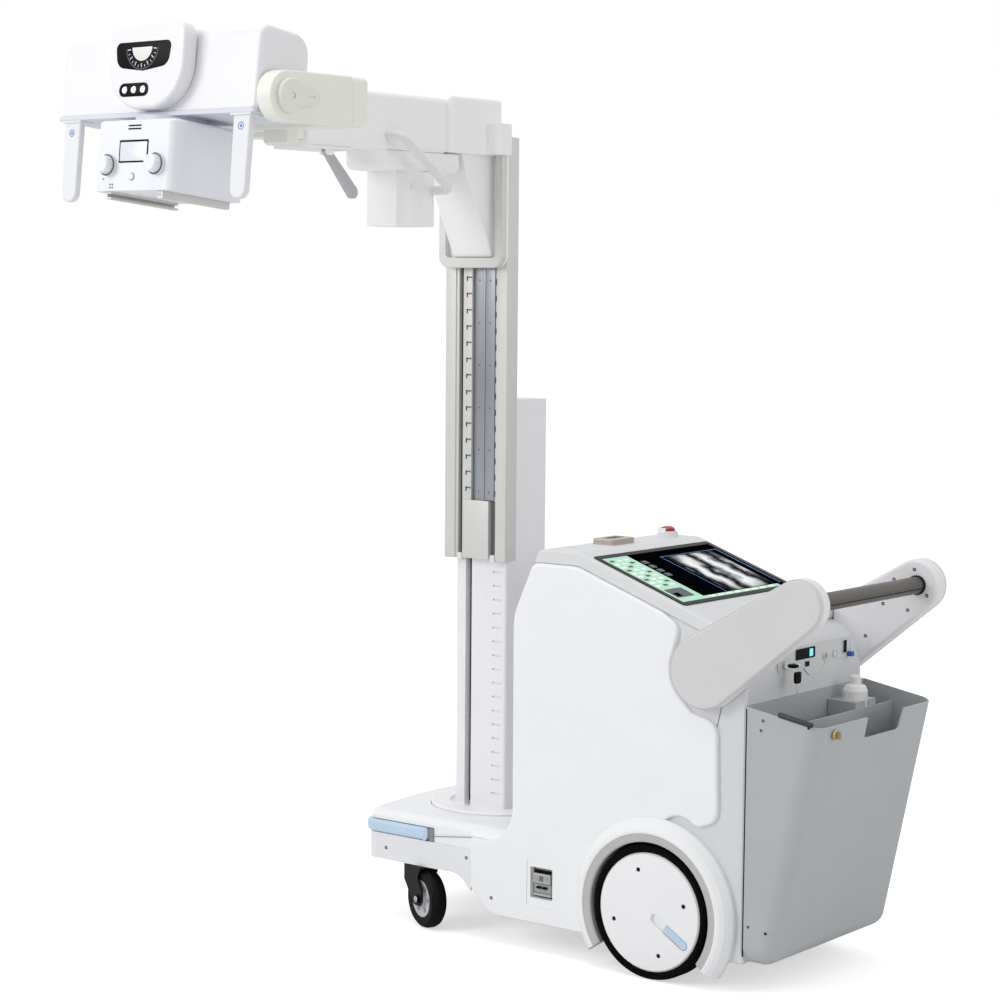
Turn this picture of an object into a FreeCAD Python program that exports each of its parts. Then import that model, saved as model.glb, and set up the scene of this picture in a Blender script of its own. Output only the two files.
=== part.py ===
"""Mobile x-ray machine: motorised base, telescopic column, arm, tube head and collimator.

Millimetres. Origin on the floor, on the mid-plane, under the drive axle.
+X points to the rear (push handle), -X to the front (casters), -Y is the near side, +Z is up.
"""
import FreeCAD, Part
import math
import os

V = FreeCAD.Vector

# Clearances
RUN = 0.05          # radial clearance of a shaft in its bore
SLIDE = 0.4         # gap between sliding sections
SEAT = 0.3          # gap between bodies that move past each other
EPS = 0.2           # gap between neighbouring covers

# Cabinet
BODY_HALF = 260.0
BODY_WALL = 4.0
COVER_OUT = 272.0
BODY_BOTTOM = 72.0
BODY_FRONT = -424.0
BODY_REAR = 246.0
DECK_TOP = 1002.0
DECK_FLAT_END = -238.0
DECK_THICK = 34.0
DECK_FRONT = -356.0
DECK_REAR = 166.0
DECK_SLOPE = math.radians(19.4)
DECK_WALL = 4.0
DECK_HALF = 264.0
CONSOLE_ROUND = 95.0

# Screen
SCREEN_X = -207.0
SCREEN_LONG = 284.0
SCREEN_WIDE = 496.0
SCREEN_FRAME = 15.0
SCREEN_DEEP = 12.0
SCREEN_PROUD = 2.0
SCREEN_CORNER = 9.0
GLASS_THICK = 3.0

# Deck fittings
DOCK_X, DOCK_Y = -300.0, -30.0
DOCK_LONG, DOCK_WIDE, DOCK_TALL = 62.0, 96.0, 15.0
STOP_X, STOP_Y = -290.0, 195.0
STOP_CAP_R, STOP_STEM_R = 18.0, 8.0
STOP_TRAVEL = 4.0
STOP_COLLAR_R, STOP_COLLAR_TALL = 25.0, 16.0

# Rear panel
PANEL_LOW, PANEL_HIGH = 722.0, 798.0
PANEL_NEAR, PANEL_FAR = -130.0, 205.0
PANEL_THICK = 3.0
KEY_Y, KEY_Z = -104.0, 760.0
KEY_BARREL_R = 9.0
KEY_RING_R, KEY_WIRE_R = 12.0, 1.0

# Drive wheels
WHEEL_R = 163.0
RIM_R = 143.0
TYRE_WIDE = 60.0
WHEEL_OUT = 292.0
AXLE_R = 16.0
HUB_DISH = 4.0
LEVER_REACH = 118.0
LEVER_WIDE = 20.0
LEVER_ANGLE = -32.5
LEVER_HINGE = 58.0
LEVER_THICK_R, LEVER_PIN_R = 2.8, 1.5
LEVER_SUNK = 6.0
WHEEL_SCREW_PCD = 208.0
ARCH_IN, ARCH_TRIM, ARCH_OUT = 169.0, 191.0, 226.0
ARCH_Y = 299.0

# Casters
CASTER_R = 76.0
CASTER_WIDE = 42.0
CASTER_X, CASTER_Y = -744.0, 239.0
CASTER_TRAIL = 30.0
CASTER_TURN = 22.0
CASTER_HUB_R = 47.0
CASTER_HOUSING_R = 22.0
CROWN_THICK = 5.5
CHEEK_THICK = 4.0
KINGPIN_R = 9.0
CASTER_AXLE_R = 7.0

# Foot
FOOT_FRONT, FOOT_CORNER = -932.0, -904.0
FOOT_HALF = 267.0
FOOT_LOW, SKIRT_TOP, HOOD_LOW = 160.0, 228.0, 264.0
HOOD_TOP = 290.0
FOOT_SEAM = -559.0
FOOT_WALL = 4.0
FOOT_CORNER_R = 32.0
HOOD_EDGE_R = 20.0
PLATE_LOW, PLATE_THICK = 190.0, 14.0
CROWN_TOP = FOOT_LOW - 0.5

# Bumper
BUMPER_TALL = 32.0
BUMPER_THICK = 22.0
BUMPER_PROUD = 8.0
BUMPER_END = -709.0
BUMPER_TRAVEL = 10.0
BUMPER_PIN_R = 4.0

# Column
COLUMN_X = -680.0
TURN_R, TURN_TOP, TURN_THICK = 178.0, 298.0, 14.0
SPIGOT_R = 60.0
MAST_HALF_X, MAST_HALF_Y = 82.5, 84.0
MAST_WALL = 5.0
MAST_TOP = 1350.0
MAST_GROOVE, MAST_GROOVE_WIDE, MAST_GROOVE_DEEP = -40.0, 20.0, 22.0
LADDER_X, LADDER_WIDE, LADDER_PITCH, LADDER_SLOT = 54.0, 30.0, 36.0, 5.0

# Column's upper stage
STAGE_LOW, STAGE_TOP = 940.0, 2013.0
STAGE_HALF = 99.5
STAGE_FRONT, STAGE_BACK = -112.0, -66.0
CHANNEL_HALF, CHANNEL_DEEP = 53.0, 17.0
RAIL_IN, RAIL_OUT, RAIL_TALL = 16.0, 40.0, 12.0
STAGE_COVER_HALF, STAGE_COVER_TOP = 44.0, 1092.0

# Carriage
CARRIAGE_LOW, CARRIAGE_TOP = 1685.0, 1966.0
CARRIAGE_HALF = 103.0
BEZEL_BAR, BEZEL_THICK = 22.0, 17.0
BACKPLATE_THICK = 7.0
GUSSET_HALF = 63.5
HEADSTOCK_HALF, HEADSTOCK_TOP = 84.0, 2104.0
HEADSTOCK_FRONT = -322.0
COLLAR_HALF, COLLAR_TOP, COLLAR_FRONT = 118.0, 2043.0, -178.0

# Arm
ARM_Z = 2030.0
HOUSING_HALF, HOUSING_TALL = 70.0, 136.0
HOUSING_END = -820.0
HOUSING_WALL = 11.0
ARM_END, ARM_TAIL = -935.0, -460.0
ARM_WALL = 6.0
SPINDLE_R = 20.0
PAN_HALF, PAN_DEEP, PAN_END, PAN_BACK = 62.0, 46.0, -572.0, -135.0
PARK_HALF, PARK_FRONT, PARK_BACK, PARK_LOW = 52.0, -480.0, -342.0, 1783.0
GRAB_R = 11.0
LEVER_X, LEVER_PIVOT_Y = 36.0, -720.0
LEVER_LEN, LEVER_THICK, LEVER_BLADE = 128.0, 12.0, 30.0

# Yoke
TRUNNION_Y, TRUNNION_Z = -1187.0, 2038.0
TRUNNION_R = 16.0
YOKE_ROUND = 54.0
YOKE_OUT, YOKE_THICK = -330.0, 41.0
YOKE_CROSS_FRONT = -984.0
KNOB_R, KNOB_THICK, KNOB_TONGUE = 37.0, 14.0, 86.0

# Tube head, in its own level frame about the trunnion
HEAD_TILT = -5.5
HEAD_LEFT, HEAD_RIGHT = -985.0, -376.0
HEAD_FRONT, HEAD_BACK = -53.0, 109.0
TRAY_LOW, TRAY_THICK = -40.0, 9.0
COVER_HIGH, COVER_WALL, COVER_END_R = 150.0, 4.0, 10.0
POD_HALF, POD_LOW, POD_HIGH, POD_PROUD = 116.0, -28.0, 158.0, 35.0
PADDLE_X, PADDLE_WIDE, PADDLE_THICK, PADDLE_LONG = 262.0, 52.0, 17.0, 182.0
PADDLE_Y = -38.0
TUBE_R, TUBE_LONG, TUBE_Y = 66.0, 330.0, 31.0
BUTTON_R, BUTTON_GAP, BUTTON_Z, BUTTON_X, BUTTON_TRAVEL = 8.0, 28.0, 14.0, -32.0, 1.5

# Collimator
COL_HALF = 121.0
COL_FRONT, COL_BACK = -103.0, 124.0
COL_HIGH, COL_LOW = -54.0, -208.0
COL_WALL = 4.0
COL_NECK_R = 62.0
APERTURE = 110.0
COL_RAIL_X, COL_RAIL_LONG, COL_RAIL_DEEP = 80.0, 205.0, 16.0
COL_KNOB_X, COL_KNOB_Z, COL_KNOB_R, COL_KNOB_LONG = 74.0, -152.0, 20.0, 24.0
COL_BUTTON_Z, COL_BUTTON_R = -178.0, 7.0
LCD_WIDE, LCD_TALL, LCD_Z = 84.0, 46.0, -123.0

# Breaker
BREAKER_X0, BREAKER_X1, BREAKER_Z0, BREAKER_Z1 = -380.0, -298.0, 117.0, 229.0
BREAKER_DEEP = 12.0

# Handle
GRIP_LOW, GRIP_LOW_R = (142.0, 754.0), 89.0
GRIP_HIGH, GRIP_HIGH_R = (396.0, 928.0), 63.0
GRIP_OUT, GRIP_PAD, GRIP_IN = 296.0, 12.0, 250.0
GRIP_MARGIN, GRIP_EDGE_R = 2.5, 10.0
BAR_X, BAR_Z, BAR_R, BAR_WALL = 401.0, 929.0, 21.0, 3.0
BAR_SOCKET = 20.0

# Bin
BIN_FRONT, BIN_LOW, BIN_HALF = BODY_REAR + EPS, 78.0, 272.0
BIN_FRONT_TOP, BIN_REAR_TOP = 684.0, 650.0
BIN_REAR_LOW, BIN_REAR = 326.0, 445.0
BIN_WALL, BIN_EDGE_R, BIN_FOOT_R = 4.0, 40.0, 44.0
NOTCH_NEAR, NOTCH_FAR, NOTCH_DEEP = -50.0, 110.0, 50.0
LOCK_Y, LOCK_R, LOCK_DROP = -200.0, 8.0, 20.0
DIVIDER_X, DIVIDER_THICK, DIVIDER_DROP = 330.0, 4.0, 12.0
BOTTLE_R, BOTTLE_TALL = 30.0, 112.0
BOTTLE_X, BOTTLE_Y = 300.0, 140.0
HOLDER_TALL, HOLDER_HALF = 60.0, 48.0

# Inside the cabinet
DECKPLATE_LOW, DECKPLATE_THICK = 76.0, 12.0
RAIL_IN_Y, RAIL_OUT_Y = 176.0, 200.0
BATTERY = (-390.0, -70.0, 165.0, 190.0)
GENERATOR = (-380.0, -120.0, 150.0, 230.0)
MOTOR_R, MOTOR_LONG = 38.0, 110.0


def spot(plane, a, b, c):
    """Point whose in-plane coordinates are a and b, at level c along the plane's normal."""
    return {"xy": V(a, b, c), "xz": V(a, c, b), "yz": V(c, a, b)}[plane]


def outline(corners, plane, level=0.0):
    """Closed wire through (a, b, radius) corners, each corner rounded to its own radius."""
    points = [V(a, b, 0) for a, b, _ in corners]
    bends = []
    for i, point in enumerate(points):
        radius = corners[i][2]
        back = (points[i - 1] - point).normalize()
        ahead = (points[(i + 1) % len(points)] - point).normalize()
        if radius > 0:
            half = back.getAngle(ahead) / 2
            reach = radius / math.tan(half)
            middle = point + (back + ahead).normalize() * (radius / math.sin(half) - radius)
            bends.append((point + back * reach, middle, point + ahead * reach))
        else:
            bends.append((point, None, point))
    edges = []
    for i, (start, middle, end) in enumerate(bends):
        after = bends[(i + 1) % len(bends)][0]
        if middle is not None:
            arc = [spot(plane, p.x, p.y, level) for p in (start, middle, end)]
            edges.append(Part.Arc(*arc).toShape())
        if (after - end).Length > 1e-4:
            ends = [spot(plane, p.x, p.y, level) for p in (end, after)]
            edges.append(Part.LineSegment(*ends).toShape())
    return Part.Wire(edges)


def prism(corners, plane, low, high):
    """Solid of a rounded outline, from level low to level high."""
    face = Part.Face(outline(corners, plane, low))
    return face.extrude(spot(plane, 0, 0, high - low))


def inset_prism(corners, plane, low, high, inset):
    """Solid of the outline moved inwards by a wall."""
    wire = outline(corners, plane, low).makeOffset2D(-inset)
    return Part.Face(wire).extrude(spot(plane, 0, 0, high - low))


def block(x0, x1, y0, y1, z0, z1):
    """Box between two corners."""
    return Part.makeBox(x1 - x0, y1 - y0, z1 - z0, V(x0, y0, z0))


def rect(a0, a1, b0, b1, radius):
    """Corners of a rounded rectangle."""
    return [(a0, b0, radius), (a1, b0, radius), (a1, b1, radius), (a0, b1, radius)]


def rod(start, end, radius):
    """Round bar between two points."""
    run = V(*end) - V(*start)
    return Part.makeCylinder(radius, run.Length, V(*start), run)


def turned(profile, base, axis, angle=360.0):
    """Revolve a (radius, height) profile about an axis through base."""
    axis = V(*axis)
    side = V(1, 0, 0) if abs(axis.x) < 0.5 else V(0, 0, 1)
    points = [V(*base) + side * r + axis * h for r, h in profile]
    face = Part.Face(Part.makePolygon(points + [points[0]]))
    return face.revolve(V(*base), axis, angle)


def capsule(plane, first, first_r, second, second_r, low, high):
    """Plate around two circles of different radii, with tangent sides."""
    run = V(second[0] - first[0], second[1] - first[1], 0)
    lean = math.acos((first_r - second_r) / run.Length)
    heading = math.atan2(run.y, run.x)

    def rim(centre, radius, angle):
        return spot(plane, centre[0] + radius * math.cos(angle),
                    centre[1] + radius * math.sin(angle), low)

    up, down = heading + lean, heading - lean
    edges = [
        Part.Arc(rim(first, first_r, up), rim(first, first_r, heading + math.pi),
                 rim(first, first_r, down)).toShape(),
        Part.LineSegment(rim(first, first_r, down), rim(second, second_r, down)).toShape(),
        Part.Arc(rim(second, second_r, down), rim(second, second_r, heading),
                 rim(second, second_r, up)).toShape(),
        Part.LineSegment(rim(second, second_r, up), rim(first, first_r, up)).toShape(),
    ]
    return Part.Face(Part.Wire(edges)).extrude(spot(plane, 0, 0, high - low))


def soften(shape, radius, picks):
    """Fillet the edges that a test on their middle point picks."""
    edges = [e for e in shape.Edges if picks(e.CenterOfMass)]
    return shape.makeFillet(radius, edges)


def mirrored(shape):
    """The same piece on the other side of the mid-plane."""
    return shape.mirror(V(0, 0, 0), V(0, 1, 0))


def tipped(shape):
    """Move a piece from the head's level frame to its place on the trunnion."""
    shape = shape.translated(V(0, TRUNNION_Y, TRUNNION_Z))
    return shape.rotated(V(0, TRUNNION_Y, TRUNNION_Z), V(1, 0, 0), HEAD_TILT)


def slope_z(x, drop=0.0):
    """Height of the deck's top surface at x, less a drop."""
    return DECK_TOP - max(0.0, x - DECK_FLAT_END) * math.tan(DECK_SLOPE) - drop


# Cabinet

def body_corners():
    """Side outline of the cabinet, under the deck."""
    line = DECK_THICK + EPS
    return [(BODY_FRONT, BODY_BOTTOM, 8), (BODY_REAR, BODY_BOTTOM, 8),
            (BODY_REAR, slope_z(BODY_REAR, line), CONSOLE_ROUND),
            (DECK_FLAT_END, DECK_TOP - line, 60),
            (DECK_FRONT - 16, DECK_TOP - line, 20), (BODY_FRONT, 834, 90)]


def body_shell():
    """Grey sheet cabinet, open below, with the wheel wells cut through its sides."""
    corners = body_corners()
    shell = prism(corners, "xz", -BODY_HALF, BODY_HALF)
    shell = shell.cut(inset_prism(corners, "xz", -BODY_HALF + BODY_WALL, BODY_HALF - BODY_WALL,
                                  BODY_WALL))
    shell = shell.cut(block(BODY_FRONT + 20, BODY_REAR - 14, -BODY_HALF + BODY_WALL,
                            BODY_HALF - BODY_WALL, BODY_BOTTOM - 5, BODY_BOTTOM + 10))
    shell = shell.cut(rod((0, -BODY_HALF - 5, WHEEL_R), (0, BODY_HALF + 5, WHEEL_R), ARCH_IN + 6))
    shell = shell.cut(block(BODY_FRONT - 5, BODY_FRONT + 20, -RAIL_OUT_Y - 6, RAIL_OUT_Y + 6,
                            BODY_BOTTOM - 5, PLATE_LOW + PLATE_THICK + 6))
    shell = shell.cut(rod((BODY_REAR - 20, KEY_Y, KEY_Z), (BODY_REAR + 5, KEY_Y, KEY_Z),
                          KEY_BARREL_R + EPS))
    x0, x1 = BREAKER_X0 - EPS, BREAKER_X1 + EPS
    shell = shell.cut(block(x0, x1, -BODY_HALF - 2, -BODY_HALF + 10, BREAKER_Z0, BREAKER_Z1))
    return soften(shell, 6, lambda c: abs(abs(c.y) - BODY_HALF) < 0.1 and c.x > BODY_REAR - 1
                  and c.z > BODY_BOTTOM + 20)


def side_cover(opening):
    """White moulded side cover with two lobes at the rear and an arch over the wheel."""
    lip = DECK_THICK + EPS
    corners = [(FOOT_SEAM + EPS, 262, 8), (FOOT_SEAM + EPS, 134, 14), (-500, BODY_BOTTOM, 60),
               (-150, BODY_BOTTOM, 4), (-150, 190, 4), (60, 420, 60), (118, 380, 26),
               (176, 400, 40), (170, 634, 38), (100, 650, 40), (24, 720, 90), (62, 850, 30),
               (12, slope_z(12, lip), 60), (DECK_FLAT_END, DECK_TOP - lip, 60),
               (DECK_FRONT - 14, DECK_TOP - lip, 26), (BODY_FRONT - 6, 834, 140),
               (BODY_FRONT - 4, 262, 90)]
    cover = prism(corners, "xz", -COVER_OUT, -BODY_HALF)
    cover = soften(cover, 7, lambda c: c.y < -COVER_OUT + 0.1 and c.z > 300)
    cover = cover.cut(rod((0, -COVER_OUT - 5, WHEEL_R), (0, -BODY_HALF + 5, WHEEL_R),
                          ARCH_OUT + EPS))
    cover = cover.cut(block(-150, 400, -COVER_OUT - 5, -BODY_HALF + 5, 0, WHEEL_R + 10))
    if opening:
        hole = prism(rect(BREAKER_X0, BREAKER_X1, BREAKER_Z0, BREAKER_Z1, 4), "xz",
                     -COVER_OUT - 5, -BODY_HALF + 5)
        return cover.cut(hole)
    return mirrored(cover)


def wheel_arch():
    """Moulded arch round a drive wheel: a flat grey lip and a bulged white band outside it."""
    profile = [(ARCH_IN, -BODY_HALF), (ARCH_IN, -ARCH_Y + 6), (ARCH_IN + 3, -ARCH_Y + 3),
               (ARCH_TRIM - 2, -ARCH_Y + 3), (ARCH_TRIM, -ARCH_Y + 1), (ARCH_TRIM + 4, -ARCH_Y),
               (ARCH_TRIM + 12, -ARCH_Y + 2), (ARCH_TRIM + 22, -ARCH_Y + 9),
               (ARCH_TRIM + 30, -ARCH_Y + 20), (ARCH_OUT, -COVER_OUT), (ARCH_OUT, -BODY_HALF)]
    points = [V(r, y, WHEEL_R) for r, y in profile]
    face = Part.Face(Part.makePolygon(points + [points[0]]))
    face = face.rotated(V(0, 0, WHEEL_R), V(0, 1, 0), 36)
    arch = face.revolve(V(0, 0, WHEEL_R), V(0, 1, 0), -250)
    return arch


def deck_cover():
    """Grey top moulding: flat at the front, sloping to the rear under the screen."""
    corners = [(DECK_FRONT - 16, DECK_TOP - DECK_THICK, 4),
               (DECK_FLAT_END, DECK_TOP - DECK_THICK, 60),
               (DECK_REAR, slope_z(DECK_REAR, DECK_THICK), 4),
               (DECK_REAR + 4, slope_z(DECK_REAR + 4), 14),
               (DECK_FLAT_END, DECK_TOP, 60), (DECK_FRONT, DECK_TOP, 18)]
    deck = prism(corners, "xz", -DECK_HALF, DECK_HALF)
    deck = soften(deck, 5, lambda c: abs(c.y) > DECK_HALF - 0.1 and c.z > slope_z(c.x, 12))
    hollow = inset_prism(corners, "xz", -DECK_HALF + 8, DECK_HALF - 8, DECK_WALL)
    deck = deck.cut(hollow.fuse(hollow.translated(V(0, 0, -DECK_WALL - 2))))
    tray = slope_piece(-6, SCREEN_LONG + 6, SCREEN_WIDE / 2 + 5, -SCREEN_DEEP - DECK_WALL, -1, 12)
    pocket = slope_piece(-EPS, SCREEN_LONG + EPS, SCREEN_WIDE / 2 + EPS, -SCREEN_DEEP, 30,
                         SCREEN_CORNER + EPS)
    deck = deck.fuse(tray).cut(pocket)
    bowl = Part.makeSphere(60, V(-320, -165, DECK_TOP + 54))
    collar = turned([(STOP_STEM_R + RUN, DECK_TOP - DECK_WALL), (STOP_COLLAR_R + 3, DECK_TOP - 1),
                     (STOP_COLLAR_R, DECK_TOP + STOP_COLLAR_TALL - 2),
                     (STOP_COLLAR_R - 3, DECK_TOP + STOP_COLLAR_TALL),
                     (STOP_CAP_R + 1, DECK_TOP + STOP_COLLAR_TALL),
                     (STOP_CAP_R + 1, DECK_TOP + 2), (STOP_STEM_R + RUN, DECK_TOP + 2)],
                    (STOP_X, STOP_Y, 0), (0, 0, 1))
    hole = rod((STOP_X, STOP_Y, DECK_TOP - 20), (STOP_X, STOP_Y, DECK_TOP + 40), STOP_STEM_R + RUN)
    boss = rod((STOP_X, STOP_Y, DECK_TOP - 12), (STOP_X, STOP_Y, DECK_TOP - 2), STOP_STEM_R + 5)
    return deck.cut(bowl).fuse([collar, boss]).cut(hole).removeSplitter()


def slope_piece(start, end, half, low, high, radius):
    """Rounded plate lying in the deck's sloping plane; start and end run down the slope."""
    plate = prism(rect(start, end, -half, half, radius), "xy", low, high)
    plate = plate.rotated(V(0, 0, 0), V(0, 1, 0), math.degrees(DECK_SLOPE))
    return plate.translated(V(SCREEN_X, 0, slope_z(SCREEN_X)))


def screen_bezel():
    """Black frame round the touch screen, with its back plate."""
    half = SCREEN_WIDE / 2
    frame = slope_piece(0, SCREEN_LONG, half, -SCREEN_DEEP + EPS, SCREEN_PROUD, SCREEN_CORNER)
    pocket = slope_piece(SCREEN_FRAME, SCREEN_LONG - SCREEN_FRAME, half - SCREEN_FRAME,
                         SCREEN_PROUD - GLASS_THICK - 1, SCREEN_PROUD + 5, 3)
    return frame.cut(pocket)


def screen_glass():
    """Glass of the touch screen, let into its frame."""
    half = SCREEN_WIDE / 2 - SCREEN_FRAME - EPS
    return slope_piece(SCREEN_FRAME + EPS, SCREEN_LONG - SCREEN_FRAME - EPS, half,
                       SCREEN_PROUD - GLASS_THICK - 1, SCREEN_PROUD - 1, 2.8)


def deck_dock():
    """Polished metal latch block on the front of the deck, where the head is parked."""
    half_x, half_y = DOCK_LONG / 2, DOCK_WIDE / 2
    dock = prism(rect(DOCK_X - half_x, DOCK_X + half_x, DOCK_Y - half_y, DOCK_Y + half_y, 6),
                 "xy", DECK_TOP, DECK_TOP + DOCK_TALL)
    dock = soften(dock, 3, lambda c: c.z > DECK_TOP + DOCK_TALL - 0.1)
    slot = prism(rect(DOCK_X - half_x + 16, DOCK_X + half_x - 16, DOCK_Y - half_y + 14,
                      DOCK_Y + half_y - 14, 5), "xy", DECK_TOP + 6, DECK_TOP + 40)
    return dock.cut(slot)


def stop_button():
    """Red mushroom button on its stem."""
    top = DECK_TOP + STOP_COLLAR_TALL + 12
    profile = [(0, DECK_TOP - 18), (STOP_STEM_R, DECK_TOP - 18), (STOP_STEM_R, top - 16),
               (STOP_CAP_R - 1, top - 16), (STOP_CAP_R, top - 14), (STOP_CAP_R, top - 6),
               (STOP_CAP_R - 4, top - 2), (STOP_CAP_R - 10, top), (0, top)]
    return turned(profile, (STOP_X, STOP_Y, 0), (0, 0, 1))


def rear_panel():
    """Panel plate under the handle with its display window, sockets and data port."""
    x = BODY_REAR
    corners = [(PANEL_NEAR, PANEL_LOW + 22, 6), (-20, PANEL_LOW + 22, 10), (10, PANEL_LOW, 10),
               (60, PANEL_LOW, 14), (92, PANEL_LOW + 26, 10), (PANEL_FAR, PANEL_LOW + 26, 8),
               (PANEL_FAR, PANEL_HIGH, 8), (PANEL_NEAR, PANEL_HIGH, 8)]
    plate = prism(corners, "yz", x, x + PANEL_THICK)
    edge = inset_prism(corners, "yz", x + PANEL_THICK - 1, x + PANEL_THICK + 1, 5)
    plate = plate.cut(edge)
    plate = plate.cut(rod((x - 1, KEY_Y, KEY_Z), (x + 9, KEY_Y, KEY_Z), KEY_BARREL_R + EPS))
    face = x + PANEL_THICK - 1
    window = prism(rect(-56, 32, 764, 790, 3), "yz", face, face + 2)
    sockets = []
    for y in (80.0, 126.0):
        ring = rod((face, y, 761), (face + 4, y, 761), 10)
        sockets.append(ring.cut(rod((face + 1, y, 761), (face + 6, y, 761), 7)))
    port = prism(rect(162, 180, 758, 790, 2), "yz", face, face + 3)
    for z in (763.0, 774.0):
        port = port.cut(block(face + 1, face + 4, 166, 176, z, z + 7))
    small = prism(rect(-14, 6, 744, 758, 1.5), "yz", face, face + 2)
    return Part.makeCompound([plate, window, port, small] + sockets)


def key_set():
    """Ignition key in its barrel, with the ring and the spare key on it."""
    x = BODY_REAR + PANEL_THICK
    barrel = rod((x - 14, KEY_Y, KEY_Z), (x + 5, KEY_Y, KEY_Z), KEY_BARREL_R)
    blade = block(x + 5, x + 16, KEY_Y - 4, KEY_Y + 4, KEY_Z - 1.2, KEY_Z + 1.2)
    bow = prism([(x + 14, KEY_Y - 10, 5), (x + 34, KEY_Y - 13, 9), (x + 34, KEY_Y + 13, 9),
                 (x + 14, KEY_Y + 10, 5)], "xy", KEY_Z - 3, KEY_Z + 3)
    eye = rod((x + 28, KEY_Y, KEY_Z - 5), (x + 28, KEY_Y, KEY_Z + 5), 4.5)
    ring_x, ring_z = x + 36, KEY_Z - 7.4
    ring = Part.makeTorus(KEY_RING_R, KEY_WIRE_R, V(ring_x, KEY_Y, ring_z), V(0, 1, 0))
    eye_r = 3.5
    eye_z = ring_z - KEY_RING_R + KEY_WIRE_R + SEAT - eye_r
    spare = prism([(-12, 7, 6), (12, 7, 6), (11, -17, 7), (-11, -17, 7)], "yz", -1.5, 1.5)
    spare = spare.fuse(block(-0.8, 0.8, -3.5, 3.5, -41, -15)).cut(rod((-9, 0, 0), (9, 0, 0), eye_r))
    spare = spare.translated(V(ring_x, KEY_Y, eye_z))
    return Part.makeCompound([barrel.fuse([blade, bow]).cut(eye), ring, spare])


def breaker():
    """Recessed frame with the two-pole circuit breaker in it."""
    x0, x1, z0, z1 = BREAKER_X0 + EPS, BREAKER_X1 - EPS, BREAKER_Z0 + EPS, BREAKER_Z1 - EPS
    frame = prism(rect(x0, x1, z0, z1, 4), "xz", -COVER_OUT + 2, -BODY_HALF + BREAKER_DEEP)
    well = prism(rect(x0 + 10, x1 - 3, z0 + 20, z1 - 14, 3), "xz", -COVER_OUT - 5,
                 -BODY_HALF + BREAKER_DEEP - 3)
    frame = frame.cut(well)
    y = -BODY_HALF + BREAKER_DEEP - 3
    cx = (x0 + x1 + 7) / 2
    case = block(cx - 27, cx + 27, y - 12, y, z0 + 26, z1 - 20)
    case = case.cut(block(cx - 19, cx + 19, y - 20, y - 2, z0 + 40, z0 + 56))
    return frame.fuse(case)


def breaker_toggles():
    """Linked pair of toggles on the breaker's pivot."""
    cx = (BREAKER_X0 + BREAKER_X1 + 7) / 2
    y, z = breaker_pivot()
    roll = rod((cx - 18.5, y, z), (cx + 18.5, y, z), 4)
    levers = [block(cx + s - 6, cx + s + 6, y - 13, y, z - 2.5, z + 2.5) for s in (-9, 9)]
    return roll.fuse(levers)


def breaker_pivot():
    """Place of the toggles' pivot, in Y and Z."""
    return -BODY_HALF + BREAKER_DEEP - 9.5, BREAKER_Z0 + EPS + 48


def handle_arms():
    """Push-handle arms: a moulded white core and a grey pad on its outer face, on each side."""
    low_r, high_r = GRIP_LOW_R - GRIP_MARGIN, GRIP_HIGH_R - GRIP_MARGIN
    pad = capsule("xz", GRIP_LOW, low_r, GRIP_HIGH, high_r, -GRIP_OUT, -GRIP_OUT + GRIP_PAD)
    pad = soften(pad, 5, lambda c: c.y < -GRIP_OUT + 0.1)
    core = capsule("xz", GRIP_LOW, GRIP_LOW_R, GRIP_HIGH, GRIP_HIGH_R, -GRIP_OUT + 3, -GRIP_IN)
    core = soften(core, 3, lambda c: c.y < -GRIP_OUT + 3.1)
    core = soften(core, GRIP_EDGE_R, lambda c: c.y > -GRIP_IN - 0.1)
    cabinet = prism(body_corners(), "xz", -BODY_HALF, BODY_HALF)
    above = block(DECK_FRONT, DECK_REAR + 6, -DECK_HALF - SEAT, 0, 600, DECK_TOP + 50)
    under = prism(body_corners(), "xz", -DECK_HALF - SEAT, BODY_HALF)
    root = rod((GRIP_LOW[0], -DECK_HALF - SEAT, GRIP_LOW[1]), (GRIP_LOW[0], -BODY_HALF, GRIP_LOW[1]),
               GRIP_LOW_R - 20)
    seat = capsule("xz", GRIP_LOW, low_r + EPS, GRIP_HIGH, high_r + EPS, -GRIP_OUT,
                   -GRIP_OUT + GRIP_PAD)
    core = core.cut(above).cut(under).fuse(root).cut(cabinet).cut(seat)
    core = core.cut(rod((BAR_X, -GRIP_IN - BAR_SOCKET - RUN, BAR_Z), (BAR_X, 0, BAR_Z), BAR_R + RUN))
    solids = []
    for piece in (core, pad):
        solids += [piece, mirrored(piece)]
    return Part.makeCompound(solids)


def push_bar():
    """Tubular push bar between the arms."""
    half = GRIP_IN + BAR_SOCKET
    bar = rod((BAR_X, -half, BAR_Z), (BAR_X, half, BAR_Z), BAR_R)
    return bar.cut(rod((BAR_X, -half - 1, BAR_Z), (BAR_X, half + 1, BAR_Z), BAR_R - BAR_WALL))


# Bin

def bin_form(inset, foot_r, edge_r, top):
    """Solid of the bin: upright front, rear face leaning inwards to a rounded bottom."""
    lean = (BIN_REAR - BIN_REAR_LOW) / (BIN_REAR_TOP - BIN_LOW)
    front, half = BIN_FRONT + inset, BIN_HALF - inset
    low = BIN_LOW + inset
    corners = [(front, low, 0), (BIN_REAR_LOW + lean * inset - inset, low, foot_r),
               (BIN_REAR + lean * (top - BIN_REAR_TOP) - inset, top, 0),
               (front, top + BIN_FRONT_TOP - BIN_REAR_TOP, 0)]
    form = prism(corners, "xz", -half, half)
    return soften(form, edge_r, lambda c: abs(c.y) > half - 0.1 and c.z < top - 5
                  and c.x > front + 1)


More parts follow.
